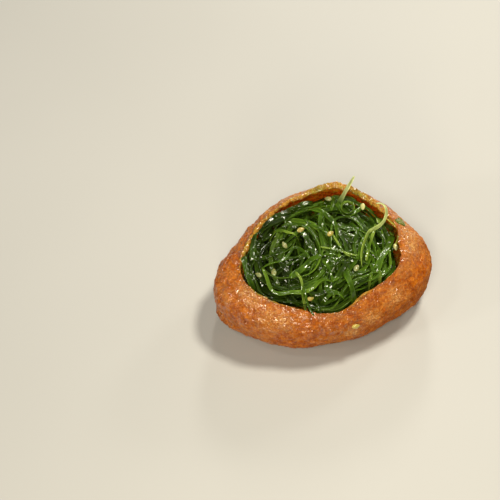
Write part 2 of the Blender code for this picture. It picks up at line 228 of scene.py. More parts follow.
# The sprig over the back rim, with the points of its curve from the root to the tip
SPRIG_ROLL = 0.2
SPRIG_STEPS = 40
SPRIG_PLACES = (0, 0.45, 0.7, 1)  # along it, with the half width at each
SPRIG_HALF_WIDTHS = (0.0008, 0.0012, 0.0009, 0.0006)
SPRIG_HALF_THICKNESS = 0.00018
SPRIG = (
    (0.0030, 0.0130, 0.0255),
    (0.0040, 0.0165, 0.0300),
    (0.0075, 0.0200, 0.0355),
    (0.0114, 0.0236, 0.0420),
)

# The photograph's view: the pixel on which the origin falls, its focal length in pixels, and its angle
PHOTO_SIDE = 500
ORIGIN_PIXEL = (321.9, 292.7)
FOCAL_PIXELS = 2000
CAMERA_DISTANCE = 0.765
CAMERA_ELEVATION = math.radians(54)
PIXEL = CAMERA_DISTANCE / FOCAL_PIXELS


def lobed(angle, lobes):
    share = 1.0
    for waves, size, degrees in lobes:
        share = share + size * np.cos(waves * (angle - math.radians(degrees)))
    return share


def bump(angle, degrees, half_spread):
    """1 at an angle in degrees, falling smoothly to 0 on both sides."""
    away = (angle - math.radians(degrees) + math.pi) % (2 * math.pi) - math.pi
    return np.exp(-0.5 * (away / math.radians(half_spread)) ** 2)


def bumps(angle, places):
    """Several bumps added up: angle in degrees, half spread and height of each."""
    return sum(height * bump(angle, degrees, spread) for degrees, spread, height in places)


def fade(distance, reach):
    """1 at no distance, falling smoothly to 0 past a reach."""
    return np.exp(-((distance / reach) ** 2))


def belly_line(angle):
    whole = np.linspace(0, 2 * math.pi, 361)
    lines = []
    for a in (angle, whole):
        reach = lobed(a, BELLY_LOBES)
        lines.append(np.stack([np.cos(a) * reach, np.sin(a) * reach], -1))
    low, high = lines[1].min(0), lines[1].max(0)
    plan = (lines[0] - (low + high) / 2) / (high - low) * np.array([WIDTH, DEPTH])
    height = BELLY_HEIGHT - BELLY_HEIGHT_SWING * np.cos(angle)
    return np.concatenate([plan, height[..., None]], -1)


def rim_line(angle):
    reach = lobed(angle, RIM_LOBES) - bumps(angle, RIM_TUCKS)
    x = RIM_CENTRE[0] + (RIM_HALF_WIDTH + SKIN / 2) * np.cos(angle) * reach
    y = RIM_CENTRE[1] + SKIN / 2 + (RIM_HALF_DEPTH + SKIN / 2) * np.sin(angle) * reach
    z = RIM_HEIGHT + RIM_SLOPE * y
    for waves, size, degrees in RIM_WAVES:
        z = z + size * np.cos(waves * (angle - math.radians(degrees)))
    z = z + PEAK[2] * bump(angle, *PEAK[:2]) - NOTCH[2] * bump(angle, *NOTCH[:2])
    return np.stack([x, y, z], -1)


def foot_line(angle):
    plan = belly_line(angle)[..., :2] * FOOT_SHARE
    return np.concatenate([plan, np.zeros(plan.shape[:-1] + (1,))], -1)


def bezier(points, t):
    a, b, c, d = points
    s = 1 - t
    return s**3 * a + 3 * s * s * t * b + 3 * s * t * t * c + t**3 * d


def skin_rows(angle, base_rows, lower_rows, upper_rows):
    """The outer skin as rows of points from near the middle of the base up to the rim."""
    foot, belly, rim = foot_line(angle), belly_line(angle), rim_line(angle)
    up = np.array([0.0, 0.0, 1.0])
    out = (belly - foot) * np.array([1, 1, 0])
    drop = belly[:, 2:] * up
    rise = (rim - belly)[:, 2:] * up
    lean = (rim - belly) * np.array([1, 1, 0])
    rows = [foot * share for share in np.linspace(0, 1, base_rows + 1)[1:]]
    outwards, downwards = LOWER_FULLNESS
    upwards, down, back = UPPER_FULLNESS
    lower = (foot, foot + outwards * out, belly - downwards * drop, belly)
    upper = (belly, belly + upwards * rise, rim - down * rise - back * lean, rim)
    rows += [bezier(lower, t) for t in np.linspace(0, 1, lower_rows + 1)[1:]]
    rows += [bezier(upper, t) for t in np.linspace(0, 1, upper_rows + 1)[1:]]
    return np.stack(rows)


def normals_of(rows):
    along = np.roll(rows, -1, 1) - np.roll(rows, 1, 1)
    across = np.gradient(rows, axis=0)
    normal = np.cross(along, across)
    return normal / np.maximum(np.linalg.norm(normal, axis=2, keepdims=True), 1e-12)


def noise_at(points, size, shift=0.0):
    """Smooth noise from -1 to 1 at each point of an array, with features of a size."""
    flat = points.reshape(-1, 3) / size + shift
    return np.array([noise.noise(Vector(p)) for p in flat]).reshape(points.shape[:-1])


def layered(points, layers):
    """Layers of noise added up, as a height at each point."""
    return sum(height * noise_at(points, size, shift) for size, shift, height in layers)


def creases_at(points, size, shift, share, depth):
    """The depth of narrow creases, which lie where the noise passes through zero."""
    return depth * np.clip(1 - np.abs(noise_at(points, size, shift)) / share, 0, 1)


def cracks_at(points, size, shift):
    """0 inside blisters of a size, rising to 1 in the narrow creases between them."""
    flat = points.reshape(-1, 3) / size + shift
    found = [noise.voronoi(Vector(p))[0] for p in flat]
    gap = np.array([d[1] - d[0] for d in found]).reshape(points.shape[:-1])
    return np.clip(1 - gap / BLISTER_GAP, 0, 1) ** 2


def angle_of(rows):
    return np.arctan2(rows[..., 1], rows[..., 0])


def outward_of(rows):
    """The level direction away from the middle at each point."""
    outward = rows * np.array([1, 1, 0])
    return outward / np.maximum(np.linalg.norm(outward, axis=-1, keepdims=True), 1e-6)


def dented(rows):
    """The solids' own broad dents and folded corner."""
    height = rows[..., 2]
    wall = np.clip(height / DENT_START, 0, 1)
    fold = EAR[2] * fade(height - EAR_LEVELS[0], EAR_LEVELS[1])
    fold *= np.clip(height / EAR_START, 0, 1)
    fold -= CREASE[2] * fade(height - CREASE[0], CREASE[1])
    moved = rows + normals_of(rows) * (DENT_DEPTH * noise_at(rows, DENT_SIZE) * wall)[..., None]
    return moved + outward_of(rows) * (fold * bump(angle_of(rows), *EAR[:2]))[..., None]


def wrinkled(rows):
    """Puckers, creases and blisters of fried tofu skin, as real relief."""
    angle = angle_of(rows)
    wall = np.clip(rows[..., 2] / WRINKLES_START, 0, 1)
    down = np.cumsum(np.linalg.norm(np.diff(rows, axis=0, prepend=rows[:1]), axis=2), 0)
    x, y = USUAL_REACH * np.cos(angle), USUAL_REACH * np.sin(angle)
    along_rim = np.stack([x / CREASE_STRETCH, y / CREASE_STRETCH, down], -1)
    down_wall = np.stack([x, y, down / CREASE_STRETCH], -1)
    left, front, shoulder = (bump(angle, *side) for side in (LEFT_SIDE, FRONT_SIDE, SHOULDER))
    height = layered(rows, PUCKERS) + left * layered(down_wall, LEFT_FOLDS)
    height -= creases_at(along_rim, *RIM_CREASES) * (0.20 + 0.80 * front) * (1 - left)
    height -= creases_at(down_wall, *WALL_CREASES) * (0.15 + 0.85 * np.maximum(left, shoulder))
    height -= BLISTER_HEIGHT * cracks_at(rows, *BLISTERS)
    return rows + normals_of(rows) * (height * wall)[..., None]


def lipped(rows):
    """Rolls the top of the wall inwards, where the photograph shows its outside from above."""
    below = np.linalg.norm(rows - rows[-1], axis=2)
    moved = rows.copy()
    for degrees, spread, roll, swell in LIPS:
        here = bump(angle_of(rows), degrees, spread)
        shift = swell * fade(below - LIP_SWELL_DEPTH, LIP_REACH) - roll * fade(below, LIP_REACH)
        moved += outward_of(rows) * (here * shift)[..., None]
        moved[..., 2] += here * LIP_RISE * roll * fade(below - LIP_TOP_DEPTH, LIP_TOP_DEPTH)
    return moved


def inside_rows(plain, angle, broad):
    """The inner face from the edge down, its rows closest at the edge, and how thick the edge is."""
    upper = plain[BASE_ROWS + LOWER_ROWS :]
    below = np.linalg.norm(upper - upper[-1], axis=2)
    thick = SKIN * (WALL_SHARE + bumps(angle, THICK_WALLS))
    thick = thick * (1 - THINNING * (1 - broad) * fade(below, THINNED_DEPTH))
    inside = (upper - normals_of(plain)[BASE_ROWS + LOWER_ROWS :] * thick[..., None])[::-1]
    picked = np.linspace(0, 1, INSIDE_ROWS) ** 1.3 * (len(inside) - 1)
    return inside[picked.astype(int)], thick[-1]


def add_nicks(angle, outside, edge, inside):
    """Moves the rim up, down and sideways in small waves and nicks, which fade out below it."""
    ragged = np.maximum(bump(angle, *RAGGED_BACK), 1.8 * bump(angle, *RAGGED_RIGHT))
    ragged = 0.35 + 0.65 * ragged
    nick = layered(outside[-1], NICKS) + ragged * layered(outside[-1], RAGGED_NICKS)
    shift = nick[:, None] * np.array([0, 0, 1.0]) + 0.8 * nick[::-1][:, None] * outward_of(outside[-1])
    for rows in (outside, edge, inside):
        away = np.linalg.norm(rows - outside[-1], axis=2)
        rows += shift * fade(away, NICK_DEPTH)[..., None]


def skin_surface():
    """All rows of the pocket, outside and inside, and how torn, inner, glossy and shaded each point is."""
    angle = np.linspace(0, 2 * math.pi, COLUMNS, endpoint=False)
    plain = lipped(dented(skin_rows(angle, BASE_ROWS, LOWER_ROWS, UPPER_ROWS)))
    broad = np.clip(bumps(angle, THICK_EDGES), 0, 1)
    inside, thick = inside_rows(plain, angle, broad)
    inward = inside[:1] - plain[-1]
    inward = inward / np.linalg.norm(inward, axis=2, keepdims=True)
    outside = wrinkled(plain)
    share = np.linspace(0, 1, EDGE_ROWS + 2)[1:-1, None, None]
    edge = outside[-1] + (inside[0] - outside[-1]) * share
    edge[..., 2] += EDGE_CROWN * thick * np.sin(math.pi * share[..., 0])
    edge[..., 2] += layered(edge, EDGE_CRUMBS) * (0.4 + 0.6 * broad)
    edge += inward * layered(edge, EDGE_GRIT)[..., None]
    add_nicks(angle, outside, edge, inside)
    inside += inward * layered(inside, INNER_LUMPS)[..., None]
    frayed = np.clip(broad + bump(angle, *BACK_LEFT), 0.25, 1)
    fray = inward * (layered(inside[0], FRAYS) * frayed)[None, :, None]
    depth = np.linalg.norm(inside - inside[0], axis=2)
    inside += fray * fade(depth, FRAY_DEPTH)[..., None]
    edge += fray * share
    rows = np.concatenate([outside, edge, inside])
    torn, inner, shaded = skin_marks(angle, outside, inside, broad)
    return rows, torn, inner, gloss_of(rows, angle, outside[-1]), shaded


def skin_marks(angle, outside, inside, broad):
    """How torn, inner and shaded each point of the skin is."""
    back_left, corner = 0.9 * bump(angle, *BACK_LEFT), 0.6 * bump(angle, *LEFT_CORNER)
    shown = 0.2 + 0.8 * np.maximum(broad, np.maximum(back_left, corner))
    above = np.linalg.norm(outside - outside[-1], axis=2)
    depth = np.linalg.norm(inside - inside[0], axis=2)
    on_edge = np.ones((EDGE_ROWS, COLUMNS))
    torn = np.concatenate([fade(above, FRINGE), on_edge, fade(depth, FRAY_DEPTH)]) * shown
    inner = np.zeros(torn.shape)
    inner[-INSIDE_ROWS:] = 1
    shaded = inner * np.maximum(bump(angle, *INNER_RIGHT), bump(angle, *INNER_FRONT))
    return torn, inner, shaded


def gloss_of(rows, angle, rim):
    """How wet the skin shines: most near the rim and on the left."""
    away = np.linalg.norm(rows - rim, axis=2)
    gloss = 0.10 + bumps(angle, GLOSSY_SIDES) + 0.35 * fade(away, GLOSSY_RIM)
    gloss = gloss + fade(away, GLOSSY_DEPTH) * (0.34 + 0.75 * bump(angle, *GLOSSY_SHOULDER))
    return np.clip(gloss, 0, 1)


def mesh_object(name, points, faces, material):
    mesh = bpy.data.meshes.new(name)
    mesh.from_pydata(points.tolist(), [], faces)
    mesh.materials.append(material)
    mesh.shade_smooth()
    item = bpy.data.objects.new(name, mesh)
    bpy.context.scene.collection.objects.link(item)
    return item


def closed_faces(count, rows):
    """Faces of a grid of rows that closes along each row, with a point at each end."""
    i = np.arange(count)
    j = (i + 1) % count
    faces = []
    for row in range(rows - 1):
        a, b = row * count, (row + 1) * count
        faces += np.stack([a + i, a + j, b + j, b + i], 1).tolist()
    first, last = rows * count, rows * count + 1
    faces += np.stack([np.full(count, first), j, i], 1).tolist()
    top = (rows - 1) * count
    faces += np.stack([np.full(count, last), top + i, top + j], 1).tolist()
    return faces


FIELDS = {"FLOAT": "value", "FLOAT_VECTOR": "vector", "FLOAT_COLOR": "color"}


def set_values(mesh, name, values, kind="FLOAT"):
    """Keeps a value of each point on a mesh, for its material to read."""
    layer = mesh.attributes.new(name, kind, "POINT")
    layer.data.foreach_set(FIELDS[kind], np.ascontiguousarray(values, np.float32).ravel())


def spotted(points, tree, spots):
    """How strongly each point of the skin lies in one of some patches that the photograph shows."""
    total = np.zeros(len(points))
    for x, y, size in spots:
        seen = tree.ray_cast(*photo_ray(x, y))[0]
        if seen is not None:
            away = np.linalg.norm(points - np.array(seen), axis=1)
            total = np.maximum(total, fade(away, size))
    return total


def build_skin(shift, material):
    rows, torn, inner, gloss, shaded = skin_surface()
    points = rows.reshape(-1, 3)
    floor = rows[-1].mean(0) * np.array([1, 1, 0]) + np.array([0, 0, rows[-1, :, 2].min()])
    points = np.vstack([points, [0, 0, 0], floor]) + shift
    faces = closed_faces(COLUMNS, len(rows))
    item = mesh_object("pocket_skin", points, faces, material)
    tree = BVHTree.FromPolygons(points.tolist(), faces)
    torn = np.array([*torn.ravel(), 0, 0])
    set_values(item.data, "torn", np.maximum(torn, 0.8 * spotted(points, tree, TORN_SPOTS)))
    set_values(item.data, "shaded", [*shaded.ravel(), 0, 0])
    set_values(item.data, "inner", [*inner.ravel(), 0, 1])
    gloss = np.array([*gloss.ravel(), 0, 0])
    set_values(item.data, "gloss", np.maximum(gloss, 0.85 * spotted(points, tree, GLOSS_SPOTS)))
    for name, spots in (("stained", STAINED_SPOTS), ("dull", DULL_SHEEN_SPOTS), ("pink_sheen", PINK_SHEEN_SPOTS)):
        set_values(item.data, name, spotted(points, tree, spots))
    return item, tree


def heap_top(x, y):
    """Level of the salad's core, lumpy and higher in the middle."""
    share = (x / RIM_HALF_WIDTH) ** 2 + (y / RIM_HALF_DEPTH) ** 2
    dome = HEAP_DOME * np.clip(1 - share, HEAP_DIP, 1)
    height, along_x, along_y = HEAP_LUMPS
    lumps = height * np.sin(x / along_x) * np.cos(y / along_y)
    return HEAP_EDGE + HEAP_SLOPE[0] * x + HEAP_SLOPE[1] * y + dome + lumps


def core_top(x, y):
    """Level of the dark inside that the strands lie on: deep in the middle, higher by the wall."""
    away = (x / RIM_HALF_WIDTH) ** 2 + (y / RIM_HALF_DEPTH) ** 2
    share = np.clip((away - CORE_RISE_START) / CORE_RISE_SPREAD, 0, 1)
    angle = np.arctan2(y, x)
    for degrees, spread, less in LOW_SIDES:
        share = share * (1 - less * bump(angle, degrees, spread))
    climb = np.max([rise * bump(angle, degrees, spread) for degrees, spread, rise in CLIMBS], 0)
    climb = climb * np.clip((away - CLIMB_START) / CLIMB_SPREAD, 0, 1) ** 2
    return heap_top(x, y) - CORE_DROP * (1 - CORE_RISE * share) + climb


def reach_table(shift):
    """How far from the middle the salad may reach, for every half degree."""
    angle = np.linspace(0, 2 * math.pi, 180, endpoint=False)
    rows = dented(skin_rows(angle, *REACH_ROWS))
    wall = rows - normals_of(rows) * SKIN * 1.1 + shift
    away = np.hypot(wall[..., 0], wall[..., 1])
    away[wall[..., 2] < HEAP_EDGE - HEAP_DEPTH] = math.inf
    at = np.arctan2(wall[-1, :, 1], wall[-1, :, 0])
    return np.interp(REACH_ANGLES, at, away.min(0), period=2 * math.pi)


class Heap:
    """A height grid on which strands are laid one over another."""

    def __init__(self, shift):
        axis = np.arange(-GRID_HALF, GRID_HALF, CELL) + CELL / 2
        self.floor = core_top(*np.meshgrid(axis, axis, indexing="ij"))
        self.grid = self.floor.copy()
        self.reach = reach_table(shift)
        for degrees, spread, roll, _ in LIPS:
            self.reach -= 0.7 * roll * bump(REACH_ANGLES, degrees, spread)
        self.gaps = np.zeros_like(self.grid)
        for x, y, wide, deep in GAPS:
            self.gaps = np.maximum(self.gaps, self.hump(axis, x, y, wide, deep))
        self.floor -= GAP_DROP * self.gaps
        for x, y, wide, deep, rise in MOUNDS:
            self.floor += rise * self.hump(axis, x, y, wide, deep)
        self.grid = self.floor.copy()

    def hump(self, axis, x, y, wide, deep):
        spot = on_heap(self, x, y)
        away = ((axis[:, None] - spot.x) / wide) ** 2 + ((axis[None, :] - spot.y) / deep) ** 2
        return np.exp(-away)

    def reach_at(self, x, y):
        return self.reach[int(math.degrees(math.atan2(y, x)) * 2) % len(REACH_ANGLES)]

    def cells(self, plan):
        return np.clip(((plan + GRID_HALF) / CELL).astype(int), 0, self.grid.shape[0] - 1)

    def level(self, x, y):
        u, v = self.cells(np.array([x, y]))
        return self.grid[u, v]

    def wander(self, rng, kind, length, half_width):
        """A loosely curling path seen from above, which turns along the wall or ends there."""
        margin = half_width + rng.uniform(WALL_GAP, kind["clear"])
        spot = rng.uniform(0, 2 * math.pi)
        x, y = math.cos(spot), math.sin(spot)
        away = (self.reach_at(x, y) - margin) * math.sqrt(rng.random())
        plan = [(away * x, away * y)]
        heading = rng.uniform(0, 2 * math.pi)
        turn_rate = rng.choice((-1, 1)) * rng.uniform(*kind["curl"])
        amount, phase = rng.uniform(*kind["swing"]), rng.uniform(0, 2 * math.pi)
        wave = rng.uniform(*WAVE_LENGTH) / (2 * math.pi)
        for i in range(round(length / STEP)):
            heading += STEP * (turn_rate + amount * math.sin(i * STEP / wave + phase))
            for turn in WALL_TURNS:
                x = plan[-1][0] + STEP * math.cos(heading + turn)
                y = plan[-1][1] + STEP * math.sin(heading + turn)
                if math.hypot(x, y) < self.reach_at(x, y) - margin:
                    break
            else:
                break
            heading += turn
            plan.append((x, y))
        return np.array(plan)

    def best_plan(self, rng, kind, length, half_width):
        """Of several paths, the one with the least salad under it."""
        best, least = None, math.inf
        cover = self.grid - self.floor
        for _ in range(TRIES):
            plan = self.wander(rng, kind, length, half_width)
            if len(plan) < SHORTEST:
                continue
            missing = 1 - len(plan) * STEP / length
            spots = tuple(self.cells(plan).T)
            cost = cover[spots].mean() + WALL_COST * missing + GAP_COST * self.gaps[spots].mean()
            if cost < least:
                best, least = plan, cost
        return best

    def lay(self, plan, half_width, half_thick, slack, arch=0.0):
        """Drops a strand on the heap: its height at each point, and the heap raised where it lies."""
        reach = int(half_width / CELL) + 1
        steps = np.arange(-reach, reach + 1)
        du, dv = np.meshgrid(steps, steps)
        across = np.hypot(du, dv) * CELL / max(half_width, CELL * 1.01)
        near = across < 1
        du, dv, across = du[near], dv[near], across[near]
        spot = self.cells(plan)
        limit = self.grid.shape[0] - 1
        u = np.clip(spot[:, :1] + du, 0, limit)
        v = np.clip(spot[:, 1:] + dv, 0, limit)
        floor = self.grid[u, v].max(1)
        level = floor.copy()
        for _ in range(slack):
            level[1:-1] = np.maximum(floor[1:-1], (level[:-2] + level[2:]) / 2)
        for _ in range(3):
            level[1:-1] = (level[:-2] + 2 * level[1:-1] + level[2:]) / 4
        level += SINK * half_thick + arch
        top = level[:, None] + half_thick * np.sqrt(1 - across**2)
        np.maximum.at(self.grid, (u, v), top)
        return level


def strand_frame(path, rolls):
    """The directions across and over a strand at each point of its path."""
    along = np.gradient(path, axis=0)
    along /= np.maximum(np.linalg.norm(along, axis=1, keepdims=True), 1e-9)
    side = np.cross(along, [0, 0, 1.0])
    weak = np.linalg.norm(side, axis=1, keepdims=True)
    side = np.where(weak > 0.15, side / np.maximum(weak, 1e-9), np.array([1.0, 0, 0]))
    over = np.cross(side, along)
    over /= np.linalg.norm(over, axis=1, keepdims=True)
    c, s = np.cos(rolls)[:, None], np.sin(rolls)[:, None]
    return side * c + over * s, over * c - side * s


def strand_part(path, half_width, half_thick, rolls, tints):
    """Points, faces, colours and grain of a cupped strip that runs along a path and turns about itself."""
    path = np.asarray(path, float)
    side, over = strand_frame(path, rolls)
    steps = np.arange(len(path))
    size = np.clip((np.minimum(steps, steps[::-1]) + 0.6) / TAPER, 0, 1) ** 0.5
    size *= 1 + UNEVEN * np.sin(steps * 0.57 + path[0, 0] * 5000)
    turn = 2 * math.pi * np.arange(STRAND_SIDES) / STRAND_SIDES
    u, w = np.cos(turn), np.sin(turn)
    wide = (half_width * size)[:, None] * u
    high = (half_thick * size)[:, None] * w + CUP * (half_width * size)[:, None] * (u**2 - 0.5)
    points = path[:, None] + side[:, None] * wide[..., None] + over[:, None] * high[..., None]
    points = np.vstack([points.reshape(-1, 3), path[0], path[-1]])
    # painted glow: the thin edges lighter and yellower than the middle
    edge = np.abs(u)[None, :, None] ** 5
    colours = tints[:, None, :] * (0.86 + EDGE_GLOW * edge) + EDGE_GLOW_YELLOW * edge
    colours = np.vstack([colours.reshape(-1, 3), tints[0], tints[-1]])
    grain = np.zeros((len(path), STRAND_SIDES, 3))
    grain[..., 0] = np.cumsum(np.abs(np.diff(wide, axis=1, prepend=wide[:, :1])), 1)
    grain[..., 1] = (steps * np.linalg.norm(np.diff(path, axis=0), axis=1).mean())[:, None]
    grain[..., 2] = path[0, 0] * 7 + path[0, 1] * 11
    grain = np.vstack([grain.reshape(-1, 3), grain[0, 0], grain[-1, 0]])
    return points, closed_faces(STRAND_SIDES, len(path)), colours, grain


def strands_object(name, parts, material):
    points, faces, colours, grain, start = [], [], [], [], 0
    for part in parts:
        points.append(part[0])
        faces += [[i + start for i in face] for face in part[1]]
        colours.append(part[2])
        grain.append(part[3])
        start += len(part[0])
    item = mesh_object(name, np.vstack(points), faces, material)
    colour = np.hstack([np.vstack(colours), np.ones((start, 1))])
    set_values(item.data, "tint", colour, "FLOAT_COLOR")
    set_values(item.data, "grain", np.vstack(grain), "FLOAT_VECTOR")
    return item


# Greens of the salad, from the near black of its gaps, which is painted shade, to its pale ends
DEEP = np.array([0.009, 0.019, 0.001])
DARK = np.array([0.016, 0.034, 0.002])
MID = np.array([0.028, 0.064, 0.003])
FRESH = np.array([0.054, 0.112, 0.006])
LIGHT = np.array([0.100, 0.178, 0.014])
PALE = np.array([0.185, 0.270, 0.034])
CREAM = np.array([0.500, 0.550, 0.230])
YELLOW = (np.array([0.28, 0.22, 0.02]), np.array([0.32, 0.30, 0.04]))
# Pairs of colours between which a strand drifts, by how high it lies in the heap: the low ones darker, as
# painted shade
LOW_SHADED_TINTS = ((DEEP, DARK), (DARK, MID), (DEEP, MID))
MIDDLE_TINTS = ((DARK, MID), (MID, DARK), (MID, FRESH), (DARK, FRESH))
HIGH_TINTS = ((DARK, MID), (MID, DARK), (MID, FRESH), (FRESH, MID), (MID, FRESH), (FRESH, LIGHT))

# Kinds of strands: lengths and widths in metres, thickness against width, steady turn and turn that comes
# and goes in radians per metre, how clear of the wall, twist in radians, arch in metres, how far it
# bridges dips
BED = dict(
    length=(0.025, 0.050), width=(0.0016, 0.0027), flat=0.20, curl=(3, 40), swing=(5, 40),
    clear=0.0006, roll=0.4, lift=0.0, slack=30,
)
RIBBONS = dict(
    BED, length=(0.022, 0.045), width=(0.0010, 0.0020), curl=(3, 55), clear=0.0045, lift=0.0015, slack=45,
)
LOOSE_RIBBONS = dict(
    RIBBONS, width=(0.0010, 0.0019), curl=(3, 75), swing=(5, 70), clear=0.0070, roll=0.5, slack=60,
)
THREADS = dict(
    LOOSE_RIBBONS, length=(0.014, 0.038), width=(0.0005, 0.0010), flat=0.45, curl=(5, 140), swing=(10, 110),
)
THINNEST = 0.00016
RAISED_SHARE = 0.4  # of the tufts that arch up
CRINKLE = 0.09
CRINKLE_LENGTH = (0.0040, 0.0090)
STRAND_SIDES = 10
CUP = 0.22  # how far a strip's edges turn up, as a share of its width
TAPER = 2  # steps over which its ends narrow
UNEVEN = 0.07  # share by which a strand's width comes and goes
# Painted glow: a strand's edges are painted lighter and yellower and its middle a little darker, for light
# coming through its thin edges
EDGE_GLOW = 0.9  # a strand's thin edges let more light through
EDGE_GLOW_YELLOW = np.array([0.012, 0.014, 0.0])
# Painted shade and light on the strands, from the left to the right and from the front to the middle: place
# and share of brightness; darker at the left and towards the front, brighter at the right
SIDE_PAINTED_SHADE = ((-0.020, 0.46), (-0.007, 1.0), (0.010, 1.0), (0.022, 1.30))
FRONT_PAINTED_SHADE = ((-0.020, 0.80), (-0.008, 1.0))


def mixed(a, b, t):
    return a + (b - a) * t


def tints_along(rng, count, first, second):
    """A strand's colour at each step, drifting between two."""
    phase, waves = rng.uniform(0, 6), rng.uniform(0.5, 2.5)
    t = 0.5 + 0.5 * np.sin(phase + waves * 2 * math.pi * np.arange(count) / count)
    return mixed(first, second, t[:, None])


def painted_shade_at(path):
    """How bright the strands are at each point of a path, as the photograph shows them."""
    # painted shade and light: the strands are darkened at the left and towards the front, brightened at the
    # right
    side = np.interp(path[:, 0], *zip(*SIDE_PAINTED_SHADE))
    front = np.interp(path[:, 1], *zip(*FRONT_PAINTED_SHADE))
    return (side * front)[:, None]


def rolls_along(rng, count, most):
    """A strand's turn about itself at each step: a slow twist with small crinkles on it."""
    phase, waves = rng.uniform(0, 6), rng.uniform(0.4, 1.8)
    steps = np.arange(count)
    slow = most * np.sin(phase + waves * 2 * math.pi * steps / count)
    crinkle = np.sin(rng.uniform(0, 6) + steps * 2 * math.pi * STEP / rng.uniform(*CRINKLE_LENGTH))
    return slow + CRINKLE * crinkle


def beside(heap, rng, plan, distance, margin):
    """A path beside another at a distance, drifting a little and ending where the wall stops it."""
    along = np.gradient(plan, axis=0)
    side = np.column_stack([-along[:, 1], along[:, 0]]) / np.linalg.norm(along, axis=1, keepdims=True)
    count = len(plan)
    drift = 1 + 0.5 * np.sin(rng.uniform(0, 6) + rng.uniform(2, 6) * np.arange(count) / count)
    moved = plan + side * (distance * drift)[:, None]
    moved = moved[rng.randrange(0, count // 4) : count - rng.randrange(0, count // 4)]
    inside = [math.hypot(x, y) < heap.reach_at(x, y) - margin for x, y in moved]
    if not all(inside):
        moved = moved[: inside.index(False)]
    return moved


def coloured_strand(rng, path, half_width, half_thick, colours, roll, shade=1.0):
    """A strand along a path, with its colour and its twist drawn at random."""
    # shade scales the colour: painted shade and light by place
    tints = tints_along(rng, len(path), *colours) * shade
    rolls = rolls_along(rng, len(path), roll)
    return strand_part(path, half_width, half_thick, rolls, tints)


def random_strands(heap, rng, count, kind, colours):
    """Strands of one kind, in tufts of one to three that run side by side."""
    parts = []
    while len(parts) < count:
        half_width = rng.uniform(*kind["width"]) / 2
        half_thick = max(THINNEST, half_width * kind["flat"])
        plan = heap.best_plan(rng, kind, rng.uniform(*kind["length"]), half_width)
        plans = [plan]
        for k in range(rng.choice((0, 0, 1, 2))):
            distance = (k + 1) * rng.uniform(1.3, 2.2) * half_width
            plans.append(beside(heap, rng, plan, distance, half_width + WALL_GAP))
        tuft = rng.choice(colours)
        raised = rng.uniform(0, kind["lift"]) if rng.random() < RAISED_SHARE else 0
        for plan in plans:
            if len(plan) < SHORTEST:
                continue
            arch = raised * np.sin(math.pi * np.linspace(0, 1, len(plan))) ** 2
            path = np.column_stack([plan, heap.lay(plan, half_width, half_thick, kind["slack"], arch)])
            # painted shade and light by where the strand lies
            shade = painted_shade_at(path)
            parts.append(coloured_strand(rng, path, half_width, half_thick, tuft, kind["roll"], shade))
    return parts


def wall_strands(heap, rng, tufts, colours):
    """Strands piled up along parts of the wall."""
    parts = []
    for start, end, count in tufts:
        for _ in range(count):
            half_width = rng.uniform(*TUFT_HALF_WIDTH)
            middle, half = rng.uniform(start, end), rng.uniform(*TUFT_HALF_SPAN)
            angle = np.radians(np.arange(max(start, middle - half), min(end, middle + half), 1.5))
            if len(angle) < SHORTEST:
                continue
            waves = np.sin(rng.uniform(0, 6) + rng.uniform(2, 5) * np.linspace(0, 1, len(angle)))
            margin = half_width + 0.0002 + rng.uniform(0, TUFT_DRIFT) * (1 + waves)
            reach = np.array([heap.reach_at(math.cos(a), math.sin(a)) for a in angle]) - margin
            plan = smooth_path(np.stack([reach * np.cos(angle), reach * np.sin(angle)], 1), STEP)
            path = np.column_stack([plan, heap.lay(plan, half_width, half_width * 0.3, TUFT_SLACK)])
            pair, shade = rng.choice(colours), painted_shade_at(path)
            parts.append(coloured_strand(rng, path, half_width, half_width * 0.25, pair, TUFT_ROLL, shade))
    return parts


def camera_axes():
    right = Vector((1, 0, 0))
    up = Vector((0, math.sin(CAMERA_ELEVATION), math.cos(CAMERA_ELEVATION)))
    back = Vector((0, -math.cos(CAMERA_ELEVATION), math.sin(CAMERA_ELEVATION)))
    return right, up, back


def camera_place():
    """The camera's place, from which the origin falls on its pixel."""
    right, up, back = camera_axes()
    half = PHOTO_SIDE / 2
    target = -right * (ORIGIN_PIXEL[0] - half) * PIXEL + up * (ORIGIN_PIXEL[1] - half) * PIXEL
    return target + back * CAMERA_DISTANCE


def photo_ray(x, y):
    """The camera's place and the direction of its ray through a pixel of the photograph."""
    right, up, back = camera_axes()
    aim = right * (x - PHOTO_SIDE / 2) - up * (y - PHOTO_SIDE / 2) - back * FOCAL_PIXELS
    return camera_place(), aim.normalized()


def at_level(x, y, level):
    """Where the ray through a pixel passes a height."""
    eye, aim = photo_ray(x, y)
    return eye + aim * ((level - eye.z) / aim.z)


def on_heap(heap, x, y):
    """The point of the heap that the photograph shows at a pixel."""
    level = HEAP_EDGE + HEAP_DOME
    for _ in range(5):
        place = at_level(x, y, level)
        level = heap.level(place.x, place.y)
    return place


def smooth_path(points, step):
    """A curve through the points, with even steps."""
    points = np.asarray(points, float)
    gaps = np.linalg.norm(np.diff(points, axis=0), axis=1)
    at = np.concatenate([[0], np.cumsum(gaps)])
    slope = np.gradient(points, at, axis=0)
    fine = []
    for i in range(len(points) - 1):
        span = at[i + 1] - at[i]
        ends = (points[i], span * slope[i], points[i + 1], span * slope[i + 1])
        for t in np.linspace(0, 1, max(2, int(span / step * 3)), endpoint=False):
            shares = (2 * t**3 - 3 * t**2 + 1, t**3 - 2 * t**2 + t, -2 * t**3 + 3 * t**2, t**3 - t**2)
            fine.append(sum(share * end for share, end in zip(shares, ends)))
    fine = np.array([*fine, points[-1]])
    run = np.concatenate([[0], np.cumsum(np.linalg.norm(np.diff(fine, axis=0), axis=1))])
    even = np.linspace(0, run[-1], max(4, round(run[-1] / step)))
    return np.stack([np.interp(even, run, fine[:, k]) for k in range(fine.shape[1])], 1)


